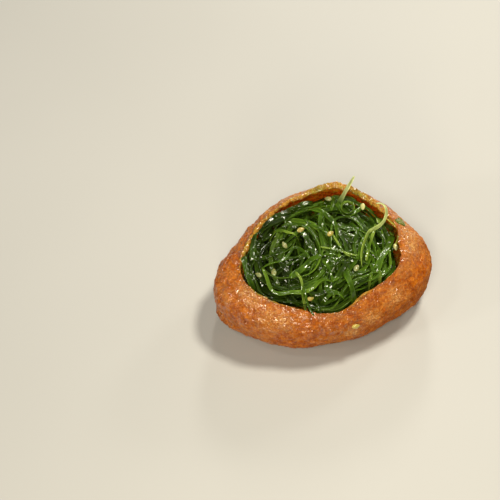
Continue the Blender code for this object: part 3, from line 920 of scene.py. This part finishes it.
# Strands that the photograph shows singly: pixels along each, width in metres, two colours, roll
SHOWN_UNDER = (
    (((298, 211), (306, 208), (316, 206), (326, 205), (334, 207)), 0.0022, DARK, MID, 0.4),
    (((243.5, 262), (246, 272), (250, 281), (256, 288)), 0.0028, MID, MID, 0.5),
    (((252, 262), (253, 246), (257, 234), (262, 224)), 0.0026, DARK, MID, 0.4),
    (((295, 215), (310, 213), (325, 216), (335, 226), (338, 240)), 0.0023, MID, FRESH, 0.7),
    (((290, 278), (300, 271), (312, 264), (322, 256)), 0.0028, MID, FRESH, 0.4),
    (((302, 290), (318, 291), (331, 285), (341, 274), (349, 264)), 0.0026, MID, DARK, 0.5),
    (((344, 284), (350, 290), (354, 297), (356, 304)), 0.0028, MID, FRESH, 0.3),
    (((366, 236), (361, 248), (360, 262)), 0.0026, MID, FRESH, 0.5),
    (((326, 284), (329, 292), (335, 299), (344, 303)), 0.0024, MID, FRESH, 0.6),
    (((375.7, 233.5), (370.9, 243.8), (367.7, 252.6), (366, 261.4)), 0.0014, FRESH, PALE, 0.4),
    (((357.8, 227), (356, 238.7), (354.6, 249), (358, 259.5)), 0.0016, MID, FRESH, 0.4),
)
FRONT_CURVE = (
    (262.5, 268), (265.5, 279), (272.5, 290.5), (291, 292.5),
    (309, 291), (323, 287.5), (333, 281.5), (339, 277),
)
SHOWN_OVER = (
    (FRONT_CURVE, 0.0019, FRESH, LIGHT, 0.5),
    (((262.5, 268), (267, 265), (281, 262), (296, 262.5), (310, 259)), 0.0014, MID, FRESH, 0.6),
    (((266, 231.5), (278, 231.5), (290, 236), (300, 244)), 0.0013, FRESH, PALE, 0.4),
    (((331, 232), (338, 244), (346, 254), (350, 257)), 0.0009, FRESH, PALE, 0.2),
    (((320, 247), (334, 252), (349, 254.5), (360, 256)), 0.0009, FRESH, PALE, 0.2),
    (((322, 262), (328, 272), (333, 284)), 0.0011, MID, FRESH, 0.4),
    (((294, 276), (300, 284), (303, 295), (308, 306)), 0.0012, FRESH, PALE, 0.4),
    (((313, 297), (318, 305), (321.5, 311)), 0.0010, MID, FRESH, 0.3),
    (((304, 228), (312, 226), (322, 230), (330, 238)), 0.0015, MID, FRESH, 0.5),
    (((369, 284), (372, 276), (378, 270), (381, 279)), 0.0013, FRESH, PALE, 0.4),
    (((336, 213), (346, 216), (356, 213), (366, 212), (376, 211)), 0.0018, MID, FRESH, 0.5),
    (((393, 240), (388, 250), (381, 262), (375, 273), (371, 282)), 0.0032, MID, FRESH, 0.25),
    (((378, 226.5), (383.5, 226), (388.5, 229), (392, 235.5)), 0.0028, PALE, FRESH, 0.3),
    (((330.5, 216), (331.5, 210), (335, 204), (340, 199.5)), 0.0016, MID, FRESH, 0.4),
)
SHOWN_SHARE = 0.78  # of those widths, as the strips are cupped
SHOWN_SLACK = 24
SHOWN_THINNEST = 0.00018
SHOWN_FLAT = 0.12
# Strands over the edge: pixel, and height in metres, or None where they lie on the heap
DRAPE = (
    (375.9, 203.4, 0.0352), (381.0, 202.9, 0.0358), (385.6, 206.6, 0.0356), (386.4, 214.5, 0.0342),
    (382.6, 223.0, 0.0326), (376.8, 227.6, 0.0314), (370.5, 231.5, None), (365.8, 239.0, None),
    (362.5, 248.0, None), (361.1, 259.0, None), (361.9, 268.0, None),
)
YELLOW_THREAD = (
    (386.8, 218.8, 0.0335), (392.0, 223.0, 0.0322), (397.2, 227.6, 0.0308), (399.2, 233.2, 0.0295),
    (398.2, 239.2, 0.0282), (395.4, 245.0, 0.0272),
)
FRONT_THREAD = (
    (304.6, 289.0, None), (305.6, 296.0, None), (307.6, 304.0, 0.0262), (310.6, 310.5, 0.0256),
    (313.8, 315.6, 0.0252),
)
FRONT_STRIP = (
    (310.0, 295.5, None), (314.6, 301.0, None), (318.6, 306.5, 0.0258), (321.2, 313.2, 0.0250),
)
# Those strands with their width, their colours and how their twist starts and ends
HUNG = (
    (DRAPE, 0.0013, (CREAM, PALE), (0.5, 1.2)),
    (YELLOW_THREAD, 0.0009, YELLOW, (0.2, 0.5)),
    (FRONT_THREAD, 0.0009, (FRESH, MID), (0.2, 0.4)),
    (FRONT_STRIP, 0.0014, (MID, DARK), (0.2, 0.6)),
)
HUNG_LIFT = 0.0009
HUNG_THINNEST = 0.0002
HUNG_FLAT = 0.15

# The ring of thread that stands on the heap
RING_PIXEL = (347.5, 210.5)
RING_HALF = (0.0023, 0.0021)
RING_LIFT = 0.0006
RING_LEAN = 0.0009
RING_RISE = 0.00012  # in each radian, so that its ends cross
RING_TURN = (-0.6, 2.24 * math.pi)
RING_STEPS = 60
RING_STRAND = (0.00046, 0.00028)  # its half width and half thickness
RING_ROLL = 0.9

# Seeds on the heap: pixel, tone, and the way the tip points in the photograph, in degrees
SEEDS = (
    (362.7, 206.7, 0, -80), (300.7, 229.7, 1, 20), (273.9, 272.2, 2, 95), (258.6, 274.9, 2, 150),
    (310.6, 298.6, 1, 20), (395.6, 247.0, 0, -82), (356.5, 268.0, 2, 60), (330.5, 233.5, 1, 35),
    (284.5, 245.0, 2, 120), (328.0, 198.8, 2, 160),
)
SEED_TONES = (np.array([0.62, 0.64, 0.24]), np.array([0.40, 0.34, 0.06]), np.array([0.20, 0.26, 0.09]))
SEED_HALF_SIZE = (0.00145, 0.00095, 0.00055)
SEED_TAPER = 0.42
SEED_SIZES = (0.9, 1.08)
SEED_LIFT = 0.0004
SEED_REACH = 2.5  # pixels from a seed's middle at which it is laid on what is under it
SEED_ON_WALL = (355.8, 325.8)
WALL_SEED_AXIS = (1, 0.2, 0.1)
WALL_SEED_LIFT = 0.0003
WALL_SEED_TONE = np.array([0.58, 0.46, 0.08])

# A scrap stuck to the shoulder: pixel of its middle, half sizes in pixels and tilt in degrees
SCRAP_PIXEL = (400.2, 221.8)
SCRAP_HALF = (5.4, 2.6)
SCRAP_TILT = 34
SCRAP_POINTS = 28
SCRAP_RINGS = ((1.0, -0.0002), (1.0, 0.00012), (0.85, 0.00030), (0.45, 0.00026))  # share and lift
SCRAP_SUNK = -0.0003
SCRAP_TINT = np.array([0.16, 0.16, 0.015])


def shown_strands(heap, rng, shown):
    """Strands that the photograph shows singly, laid on the heap."""
    parts = []
    for pixels, width, first, second, roll in shown:
        plan = smooth_path([on_heap(heap, x, y)[:2] for x, y in pixels], STEP)
        half_width = width * SHOWN_SHARE / 2
        half_thick = max(SHOWN_THINNEST, width * SHOWN_FLAT)
        path = np.column_stack([plan, heap.lay(plan, half_width * 0.8, half_thick, SHOWN_SLACK)])
        parts.append(coloured_strand(rng, path, half_width, half_thick, (first, second), roll))
    return parts


def sprig_part(shift):
    """The strand that stands out over the rim at the back, green at its root and pale at its tip."""
    t = np.linspace(0, 1, SPRIG_STEPS)
    path = bezier(np.array(SPRIG)[:, None], t[:, None]) + shift
    tip = np.clip((t[:, None] - 0.5) / 0.3, 0, 1)
    colour = mixed(mixed(MID, FRESH, t[:, None]), CREAM, tip)
    half_width = np.interp(t, SPRIG_PLACES, SPRIG_HALF_WIDTHS)
    return strand_part(path, half_width, SPRIG_HALF_THICKNESS, np.full(SPRIG_STEPS, SPRIG_ROLL), colour)


def ring_part(heap):
    """A thread curled into a ring that stands on the heap."""
    middle = on_heap(heap, *RING_PIXEL)
    turn = np.linspace(*RING_TURN, RING_STEPS)
    x = middle.x + RING_HALF[0] * np.cos(turn)
    y = middle.y + RING_HALF[1] * np.sin(turn)
    z = middle.z + RING_LIFT + RING_LEAN * (1 + np.sin(turn)) + RING_RISE * turn
    path = np.stack([x, y, z], 1)
    tints = mixed(MID, mixed(FRESH, PALE, 0.4), (0.5 + 0.5 * np.sin(turn))[:, None])
    return strand_part(path, *RING_STRAND, np.full(RING_STEPS, RING_ROLL), tints)


def hung_parts(heap):
    """Strands that hang from the rim into the salad: pixels, and heights in metres where they hang free."""
    parts = []
    for spots, width, colours, roll in HUNG:
        points = []
        for x, y, height in spots:
            if height is None:
                points.append(np.array(on_heap(heap, x, y)) + [0, 0, HUNG_LIFT])
            else:
                points.append(np.array(at_level(x, y, height)))
        path = smooth_path(points, STEP)
        under = np.array([heap.level(x, y) for x, y in path[:, :2]])
        path[:, 2] = np.maximum(path[:, 2], under + HUNG_LIFT / 2)
        for _ in range(4):
            path[1:-1] = (path[:-2] + 2 * path[1:-1] + path[2:]) / 4
        t = np.linspace(0, 1, len(path))[:, None]
        tints = mixed(colours[0], colours[1], np.clip(t * 1.5, 0, 1))
        rolls = np.linspace(*roll, len(path))
        parts.append(strand_part(path, width / 2, max(HUNG_THINNEST, width * HUNG_FLAT), rolls, tints))
    return parts


def scrap_part(skin_tree):
    """A flat scrap of seaweed that sticks to the outside of the skin near the rim."""
    turn = np.linspace(0, 2 * math.pi, SCRAP_POINTS, endpoint=False)
    reach = 1 + 0.16 * np.sin(3 * turn + 1) + 0.10 * np.sin(5 * turn)
    along = SCRAP_HALF[0] * np.cos(turn) * reach
    across = SCRAP_HALF[1] * np.sin(turn) * reach
    tilt = math.radians(SCRAP_TILT)
    right = along * math.cos(tilt) - across * math.sin(tilt)
    down = along * math.sin(tilt) + across * math.cos(tilt)

    def laid(share, lift):
        found = []
        for u, v in zip(right * share, down * share):
            place, normal, _, _ = skin_tree.ray_cast(*photo_ray(SCRAP_PIXEL[0] + u, SCRAP_PIXEL[1] + v))
            found.append(np.array(place + normal * lift))
        return np.array(found)

    rows = [laid(share, lift) for share, lift in SCRAP_RINGS]
    ends = [laid(0.01, lift).mean(0) for lift in (SCRAP_SUNK, SCRAP_RINGS[-1][1])]
    points = np.vstack([*rows, *ends])
    shares = np.repeat([share for share, _ in SCRAP_RINGS], SCRAP_POINTS)
    colours = mixed(SCRAP_TINT, FRESH, np.append(shares, (0, 0))[:, None] ** 3)
    return points, closed_faces(SCRAP_POINTS, len(rows)), colours, points


def seed_part(place, axis, normal, rng, tone):
    """A sesame seed, a flat drop pointed at one end."""
    shape = bmesh.new()
    bmesh.ops.create_icosphere(shape, subdivisions=3, radius=1)
    points = np.array([v.co for v in shape.verts])
    faces = [[v.index for v in f.verts] for f in shape.faces]
    shape.free()
    narrow = 1 - SEED_TAPER * np.clip(points[:, 0], 0, 1) ** 1.3
    local = points * SEED_HALF_SIZE * np.stack([np.ones(len(points)), narrow, narrow], 1)
    local *= rng.uniform(*SEED_SIZES)
    normal = Vector(normal).normalized()
    axis = Vector(axis)
    axis = (axis - normal * axis.dot(normal)).normalized()
    side = normal.cross(axis)
    turned = local @ np.array([axis, side, normal])
    colour = np.tile(tone, (len(points), 1)) * (0.86 + 0.28 * np.clip(-points[:, :1], 0, 1))
    return turned + np.array(place), faces, colour, points * 0.001


def build_core(heap, material):
    """The inside of the heap, seen between the strands, coloured near black as painted shade of the deep
    salad.
    """
    rows = []
    for share in np.linspace(1, 0.02, CORE_RINGS):
        row = []
        for k in range(CORE_TURNS):
            a = 2 * math.pi * k / CORE_TURNS
            x, y = math.cos(a), math.sin(a)
            away = (heap.reach_at(x, y) - CORE_GAP) * share
            lump = CORE_LUMP * noise.noise(Vector((x * away, y * away, 0.3)) / CORE_LUMP_SIZE)
            row.append((x * away, y * away, core_top(x * away, y * away) - CORE_UNDER + lump))
        rows.append(row)
    rows = np.array(rows)
    wall = rows[:1].repeat(len(CORE_WALL), 0)
    for ring, (share, depth) in zip(wall, CORE_WALL):
        ring[:, :2] *= share
        ring[:, 2] -= depth
    rows = np.vstack([wall, rows])
    bottom = [0, 0, wall[0, :, 2].min() - 0.001]
    top = [0, 0, core_top(0.0, 0.0)]
    points = np.vstack([rows.reshape(-1, 3), bottom, top])
    return mesh_object("salad_core", points, closed_faces(CORE_TURNS, len(rows)), material)


class Nodes:
    """Short hands for building a material's nodes."""

    def __init__(self, name):
        self.material = bpy.data.materials.new(name)
        self.material.use_nodes = True
        self.tree = self.material.node_tree
        self.shader = self.tree.nodes["Principled BSDF"]

    def add(self, kind, **values):
        node = self.tree.nodes.new(kind)
        for key, value in values.items():
            if hasattr(node, key):
                setattr(node, key, value)
            else:
                node.inputs[key.replace("_", " ")].default_value = value
        return node

    def link(self, source, target):
        self.tree.links.new(source, target)

    def attribute(self, name, kind="Fac"):
        """What the mesh holds at each point under a name."""
        return self.add("ShaderNodeAttribute", attribute_name=name).outputs[kind]

    def here(self):
        return self.add("ShaderNodeTexCoord").outputs["Object"]

    def noise(self, coordinate, scale, detail=4.0, rough=0.55, distortion=0.0):
        node = self.add("ShaderNodeTexNoise", Scale=scale, Detail=detail)
        node.inputs["Roughness"].default_value = rough
        node.inputs["Distortion"].default_value = distortion
        self.link(coordinate, node.inputs["Vector"])
        return node.outputs["Fac"]

    def cells(self, coordinate, scale, feature="F1"):
        node = self.add("ShaderNodeTexVoronoi", feature=feature)
        node.inputs["Scale"].default_value = scale
        self.link(coordinate, node.inputs["Vector"])
        return node.outputs["Distance"]

    def ramp(self, source, stops):
        node = self.add("ShaderNodeValToRGB")
        elements = node.color_ramp.elements
        while len(elements) < len(stops):
            elements.new(0.5)
        for element, (place, colour) in zip(elements, stops):
            element.position = place
            element.color = (*colour, 1) if len(colour) == 3 else colour
        self.link(source, node.inputs["Fac"])
        return node.outputs["Color"]

    def range(self, source, low, high, to_low=0.0, to_high=1.0):
        node = self.add("ShaderNodeMapRange")
        for key, value in (("From Min", low), ("From Max", high), ("To Min", to_low), ("To Max", to_high)):
            node.inputs[key].default_value = value
        self.link(source, node.inputs["Value"])
        return node.outputs["Result"]

    def mix(self, factor, first, second, kind="MIX"):
        node = self.add("ShaderNodeMix", data_type="RGBA", blend_type=kind)
        self.put(factor, node.inputs["Factor"])
        self.put(first, node.inputs[6])
        self.put(second, node.inputs[7])
        return node.outputs[2]

    def put(self, value, target):
        if isinstance(value, bpy.types.NodeSocket):
            self.link(value, target)
        elif isinstance(value, tuple) and target.type == "RGBA":
            target.default_value = (*value, 1)
        else:
            target.default_value = value

    def maths(self, kind, first, second):
        node = self.add("ShaderNodeMath", operation=kind)
        self.put(first, node.inputs[0])
        self.put(second, node.inputs[1])
        return node.outputs["Value"]

    def times(self, first, second):
        return self.maths("MULTIPLY", first, second)

    def bump(self, height, distance, strength, before=None):
        node = self.add("ShaderNodeBump", Distance=distance, Strength=strength)
        self.link(height, node.inputs["Height"])
        if before is not None:
            self.link(before, node.inputs["Normal"])
        return node.outputs["Normal"]

    def finish(self, **values):
        for key, value in values.items():
            self.put(value, self.shader.inputs[key.replace("_", " ")])
        return self.material


# Colours of the skin: place in the noise and colour
FRIED_BROWNS = (
    (0.34, (0.190, 0.028, 0.0008)),
    (0.44, (0.330, 0.064, 0.0016)),
    (0.54, (0.450, 0.106, 0.0030)),
    (0.66, (0.600, 0.180, 0.0080)),
)
CUT_BROWNS = (
    (0.32, (0.200, 0.055, 0.0040)),
    (0.42, (0.480, 0.180, 0.0180)),
    (0.52, (0.640, 0.310, 0.0400)),
    (0.62, (0.520, 0.370, 0.0500)),
    (0.70, (0.340, 0.330, 0.0300)),
)
CUT_GREENS = ((0.40, (0.300, 0.190, 0.016)), (0.60, (0.330, 0.330, 0.035)))
WET_BROWNS = (
    (0.34, (0.840, 0.200, 0.0060)),
    (0.52, (0.930, 0.310, 0.0120)),
    (0.68, (0.960, 0.440, 0.0260)),
)


def outer_colour(n, here, grain, dull):
    """Fried browns, with dull patches that are partly a painted sheen, pink patches of painted sheen, pale
    specks, a web of thin painted highlights, and dark pits.
    """
    spot, pink_sheen = n.attribute("dull"), n.attribute("pink_sheen")
    browns = n.ramp(n.noise(here, 330, 6, 0.72, 0.3), FRIED_BROWNS)
    # dull patches painted paler tan: the random ones are the skin's own tone, the listed ones partly a
    # painted broad sheen
    browns = n.mix(dull, browns, (0.500, 0.200, 0.048))
    brown = n.times(n.range(n.noise(here, 150, 3, 0.6, 0.4), 0.52, 0.36), 0.55)
    browns = n.mix(brown, browns, (0.300, 0.060, 0.0030))
    # painted pinkish sheen on the right shoulder
    browns = n.mix(n.times(pink_sheen, 0.75), browns, (0.500, 0.200, 0.050))
    browns = n.mix(n.range(grain, 0.52, 0.68, 0.0, 0.44), browns, (0.740, 0.310, 0.040))
    # painted highlights: thin pale lines along the creases, strongest on the dull and sheen patches
    painted_crease_glints = n.maths("ABSOLUTE", n.maths("SUBTRACT", n.noise(here, 520, 3, 0.6, 0.8), 0.5), 0.0)
    painted_crease_glints = n.times(n.range(painted_crease_glints, 0.035, 0.0), n.maths("ADD", n.maths("MAXIMUM", spot, pink_sheen), 0.20))
    browns = n.mix(n.times(painted_crease_glints, 0.70), browns, (0.840, 0.500, 0.190))
    pitted = n.range(n.noise(here, 190, 2, 0.5), 0.42, 0.60, 0.20, 0.66)
    pits = n.times(n.range(grain, 0.47, 0.34), pitted)
    return n.mix(pits, browns, (0.220, 0.040, 0.0015))


def inner_colour(n, here):
    """The wet and redder inside, dark where it is shaded."""
    wet = n.ramp(n.noise(here, 330, 5, 0.62), WET_BROWNS)
    return n.mix(n.times(n.attribute("shaded"), 0.92), wet, (0.030, 0.036, 0.003))


def with_cut_edge(n, colour, torn, crumb):
    """A colour with the crumbly cut edge over it, greenish where the salad stains it."""
    cut = n.range(n.maths("ADD", torn, n.times(crumb, 0.5)), 0.60, 1.00)
    colour = n.mix(cut, colour, n.ramp(crumb, CUT_BROWNS))
    stain = n.times(n.attribute("stained"), n.range(torn, 0.15, 0.60))
    return n.mix(n.times(stain, 0.85), colour, n.ramp(crumb, CUT_GREENS))


def skin_material():
    n = Nodes("tofu_skin")
    here = n.here()
    torn, inner, gloss = n.attribute("torn"), n.attribute("inner"), n.attribute("gloss")
    grain = n.noise(here, 1450, 3, 0.70)
    crumb = n.noise(here, 900, 4, 0.72)
    dull = n.times(n.range(n.noise(here, 120, 4, 0.6), 0.50, 0.66), 0.50)
    dull = n.maths("MAXIMUM", dull, n.times(n.attribute("dull"), 0.80))
    colour = n.mix(inner, outer_colour(n, here, grain, dull), inner_colour(n, here))
    patch = n.noise(here, 520, 4, 0.6)
    shine = n.times(n.maths("MAXIMUM", gloss, inner), n.range(patch, 0.38, 0.62, 0.35, 1.30))
    rough = n.range(n.maths("ADD", shine, n.times(dull, -0.3)), 0.0, 1.0, 0.52, 0.22)
    wet_spots = n.range(n.noise(here, 620, 2, 0.5), 0.45, 0.56, 0.10, 1.0)
    blistered = n.bump(n.cells(here, 900, "SMOOTH_F1"), 0.00050, 0.45)
    wavy = n.bump(n.noise(here, 520, 2, 0.5), 0.00100, 0.80, blistered)
    grained = n.bump(grain, 0.00050, 0.85, wavy)
    return n.finish(
        Base_Color=with_cut_edge(n, colour, torn, crumb),
        Roughness=rough,
        Normal=n.bump(n.times(crumb, torn), 0.00120, 1.0, grained),
        Specular_IOR_Level=n.range(shine, 0.10, 0.80, 0.03, 0.24),
        Coat_Weight=n.times(n.range(shine, 0.12, 0.70), wet_spots),
        Coat_Roughness=0.06,
        Coat_IOR=1.9,
        Coat_Normal=wavy,
        Subsurface_Weight=n.range(inner, 0.0, 1.0, 0.05, 0.60),
        Subsurface_Radius=(0.0034, 0.0013, 0.0004),
        Subsurface_Scale=1.0,
    )


def seaweed_material():
    n = Nodes("seaweed")
    tint = n.attribute("tint", "Color")
    grain = n.attribute("grain", "Vector")
    stretch = n.add("ShaderNodeMapping")
    stretch.inputs["Scale"].default_value = (3.2, 0.30, 3.2)
    n.link(grain, stretch.inputs["Vector"])
    streak = n.noise(stretch.outputs["Vector"], 1500, 4, 0.65)
    here = n.here()
    cloud = n.noise(here, 420, 4, 0.6)
    shade = n.range(streak, 0.30, 0.70, 0.55, 1.50)
    dim = n.range(cloud, 0.30, 0.70, 0.84, 1.16)
    grey = n.add("ShaderNodeCombineColor")
    for channel in ("Red", "Green", "Blue"):
        n.link(n.times(shade, dim), grey.inputs[channel])
    colour = n.mix(1.0, tint, grey.outputs["Color"], "MULTIPLY")
    rough = n.range(cloud, 0.35, 0.65, 0.22, 0.40)
    normal = n.bump(streak, 0.00025, 0.60)
    drops = n.noise(here, 760, 2, 0.5)
    film = n.bump(drops, 0.00050, 0.34)
    return n.finish(
        Base_Color=colour,
        Roughness=rough,
        Normal=normal,
        Specular_IOR_Level=0.06,
        Coat_Weight=n.range(drops, 0.42, 0.60, 0.05, 1.0),
        Coat_Roughness=0.035,
        Coat_Normal=film,
        Subsurface_Weight=0.06,
        Subsurface_Radius=(0.0005, 0.0012, 0.0002),
        Subsurface_Scale=1.0,
    )


def shaded_inside_material():
    n = Nodes("salad_inside_painted_shade")
    here = n.here()
    strands = n.noise(here, 520, 4, 0.6, 1.5)
    # near-black greens: painted shade of the salad deep in the heap
    colour = n.ramp(strands, ((0.35, (0.003, 0.007, 0.001)), (0.70, (0.014, 0.032, 0.003))))
    return n.finish(
        Base_Color=colour,
        Roughness=n.range(strands, 0.3, 0.7, 0.45, 0.70),
        Normal=n.bump(strands, 0.0006, 0.8),
        Specular_IOR_Level=0.2,
    )


def seed_material():
    n = Nodes("sesame")
    tint = n.attribute("tint", "Color")
    here = n.here()
    cloud = n.noise(here, 900, 3, 0.6)
    colour = n.mix(n.range(cloud, 0.4, 0.7, 0.0, 0.5), tint, (0.42, 0.28, 0.09))
    normal = n.bump(n.noise(here, 2600, 2, 0.5), 0.0001, 0.3)
    return n.finish(
        Base_Color=colour,
        Roughness=n.range(cloud, 0.3, 0.7, 0.22, 0.4),
        Normal=normal,
        Coat_Weight=0.50,
        Coat_Roughness=0.08,
        Coat_Normal=normal,
        Subsurface_Weight=0.15,
        Subsurface_Radius=(0.001, 0.0007, 0.0003),
        Subsurface_Scale=1.0,
    )


def floor_material():
    n = Nodes("pale_floor")
    here = n.here()
    cloud = n.noise(here, 6, 2, 0.5)
    colour = n.ramp(cloud, ((0.3, (0.46, 0.455, 0.44)), (0.7, (0.49, 0.485, 0.47))))
    return n.finish(Base_Color=colour, Roughness=0.6)


WARM = (1.0, 0.94, 0.79)
SOFT = (1.0, 0.95, 0.84)
AIM = (0, 0, 0.02)
# Lights, all aimed at the piece: name, place, size, power and colour
LIGHTS = (
    ("key", (0.16, 0.10, 0.54), 0.11, 2.7, WARM),
    ("front", (-0.06, -0.36, 0.50), 0.13, 1.4, WARM),
    ("low", (-0.06, -0.56, 0.20), 0.14, 1.1, (1.0, 0.86, 0.60)),
    ("left_low", (-0.46, -0.18, 0.24), 0.06, 0.40, SOFT),
    ("left_high", (-0.28, -0.09, 0.50), 0.07, 0.28, SOFT),
    ("back_right", (0.38, 0.42, 0.26), 0.10, 0.8, SOFT),
    ("back", (0.05, 0.58, 0.32), 0.12, 1.3, SOFT),
)
WORLD_COLOUR = (1.0, 0.96, 0.84, 1)
WORLD_STRENGTH = 0.07
FLOOR_HALF = 1.5
FLOOR_LEVEL = -0.0002


def add_light(name, place, size, power, colour):
    lamp = bpy.data.lights.new(name, "AREA")
    lamp.shape = "DISK"
    lamp.size = size
    lamp.energy = power
    lamp.color = colour
    item = bpy.data.objects.new(name, lamp)
    item.location = place
    item.rotation_mode = "QUATERNION"
    item.rotation_quaternion = (Vector(AIM) - Vector(place)).to_track_quat("-Z", "Y")
    bpy.context.scene.collection.objects.link(item)


def add_studio():
    scene = bpy.context.scene
    scene.view_settings.view_transform = "Standard"
    scene.world = bpy.data.worlds.new("studio")
    scene.world.use_nodes = True
    background = scene.world.node_tree.nodes["Background"]
    background.inputs["Color"].default_value = WORLD_COLOUR
    background.inputs["Strength"].default_value = WORLD_STRENGTH
    for light in LIGHTS:
        add_light(*light)
    corners = FLOOR_HALF * np.array([(-1, -1, 0), (1, -1, 0), (1, 1, 0), (-1, 1, 0)])
    floor = mesh_object("floor", corners, [(0, 1, 2, 3)], floor_material())
    floor.location.z = FLOOR_LEVEL


def add_camera():
    lens = bpy.data.cameras.new("view")
    lens.sensor_width = 36
    lens.lens = lens.sensor_width * FOCAL_PIXELS / PHOTO_SIDE
    lens.clip_start = 0.01
    camera = bpy.data.objects.new("view", lens)
    bpy.context.scene.collection.objects.link(camera)
    back = camera_axes()[2]
    camera.location = camera_place()
    camera.rotation_mode = "QUATERNION"
    camera.rotation_quaternion = (-back).to_track_quat("-Z", "Y")
    bpy.context.scene.camera = camera


def tree_of(item):
    points = [v.co for v in item.data.vertices]
    return BVHTree.FromPolygons(points, [tuple(face.vertices) for face in item.data.polygons])


def middle_of(rows):
    flat = rows.reshape(-1, 3)
    return (flat.min(0) + flat.max(0)) / 2 * np.array([1, 1, 0])


def laid_seeds(skin_tree, strand_trees, rng):
    """Seeds on the strands, each lying on what is nearest under three of its points, and one on the skin."""
    grains = []
    right, up, back = camera_axes()
    for x, y, tone, degrees in SEEDS:
        across, along = math.cos(math.radians(degrees)), math.sin(math.radians(degrees))
        nearest = math.inf
        for away in (-SEED_REACH, 0, SEED_REACH):
            ray = photo_ray(x + away * across, y - away * along)
            hits = [tree.ray_cast(*ray)[3] for tree in strand_trees]
            nearest = min([nearest, *(hit for hit in hits if hit)])
        eye, aim = photo_ray(x, y)
        place = eye + aim * (nearest - SEED_LIFT)
        lean = back + right * rng.uniform(-0.5, 0.5) + up * rng.uniform(-0.2, 0.5)
        grains.append(seed_part(place, right * across + up * along, lean, rng, SEED_TONES[tone]))
    place, normal, _, _ = skin_tree.ray_cast(*photo_ray(*SEED_ON_WALL))
    place += normal * WALL_SEED_LIFT
    grains.append(seed_part(place, WALL_SEED_AXIS, normal, rng, WALL_SEED_TONE))
    return grains


def build_salad(shift, skin_tree, weed, sesame):
    """The core, then strands laid one layer over another, and last the seeds on top."""
    heap = Heap(shift)
    rng = random.Random(HEAP_SEED)
    core = build_core(heap, shaded_inside_material())
    wide = random_strands(heap, rng, 60, BED, LOW_SHADED_TINTS)
    wide += wall_strands(heap, rng, WALL_TUFTS, (*LOW_SHADED_TINTS, (DARK, MID), (MID, FRESH)))
    thin = random_strands(heap, rng, 16, THREADS, MIDDLE_TINTS)
    wide += random_strands(heap, rng, 62, RIBBONS, MIDDLE_TINTS)
    thin += random_strands(heap, rng, 26, THREADS, HIGH_TINTS)
    wide += random_strands(heap, rng, 34, LOOSE_RIBBONS, HIGH_TINTS)
    thin += random_strands(heap, rng, 30, THREADS, HIGH_TINTS)
    wide += wall_strands(heap, rng, LAST_TUFTS, MIDDLE_TINTS[:3])
    wide += shown_strands(heap, rng, SHOWN_UNDER)
    thin += shown_strands(heap, rng, SHOWN_OVER)
    thin += [ring_part(heap), *hung_parts(heap), scrap_part(skin_tree), sprig_part(shift)]
    ribbons = strands_object("salad_ribbons", wide, weed)
    threads = strands_object("salad_threads", thin, weed)
    grains = laid_seeds(skin_tree, (tree_of(ribbons), tree_of(threads)), rng)
    return core, ribbons, threads, strands_object("sesame_seeds", grains, sesame)


def main():
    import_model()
    angle = np.linspace(0, 2 * math.pi, 64, endpoint=False)
    shift = -middle_of(dented(skin_rows(angle, *SOLID_ROWS)))
    skin, skin_tree = build_skin(shift, skin_material())
    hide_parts("pocket")
    core, ribbons, threads, seeds = build_salad(shift, skin_tree, seaweed_material(), seed_material())
    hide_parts("seaweed_salad")
    for item in (skin, core, ribbons, threads, seeds):
        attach(item, "root")
    add_studio()
    add_camera()


main()
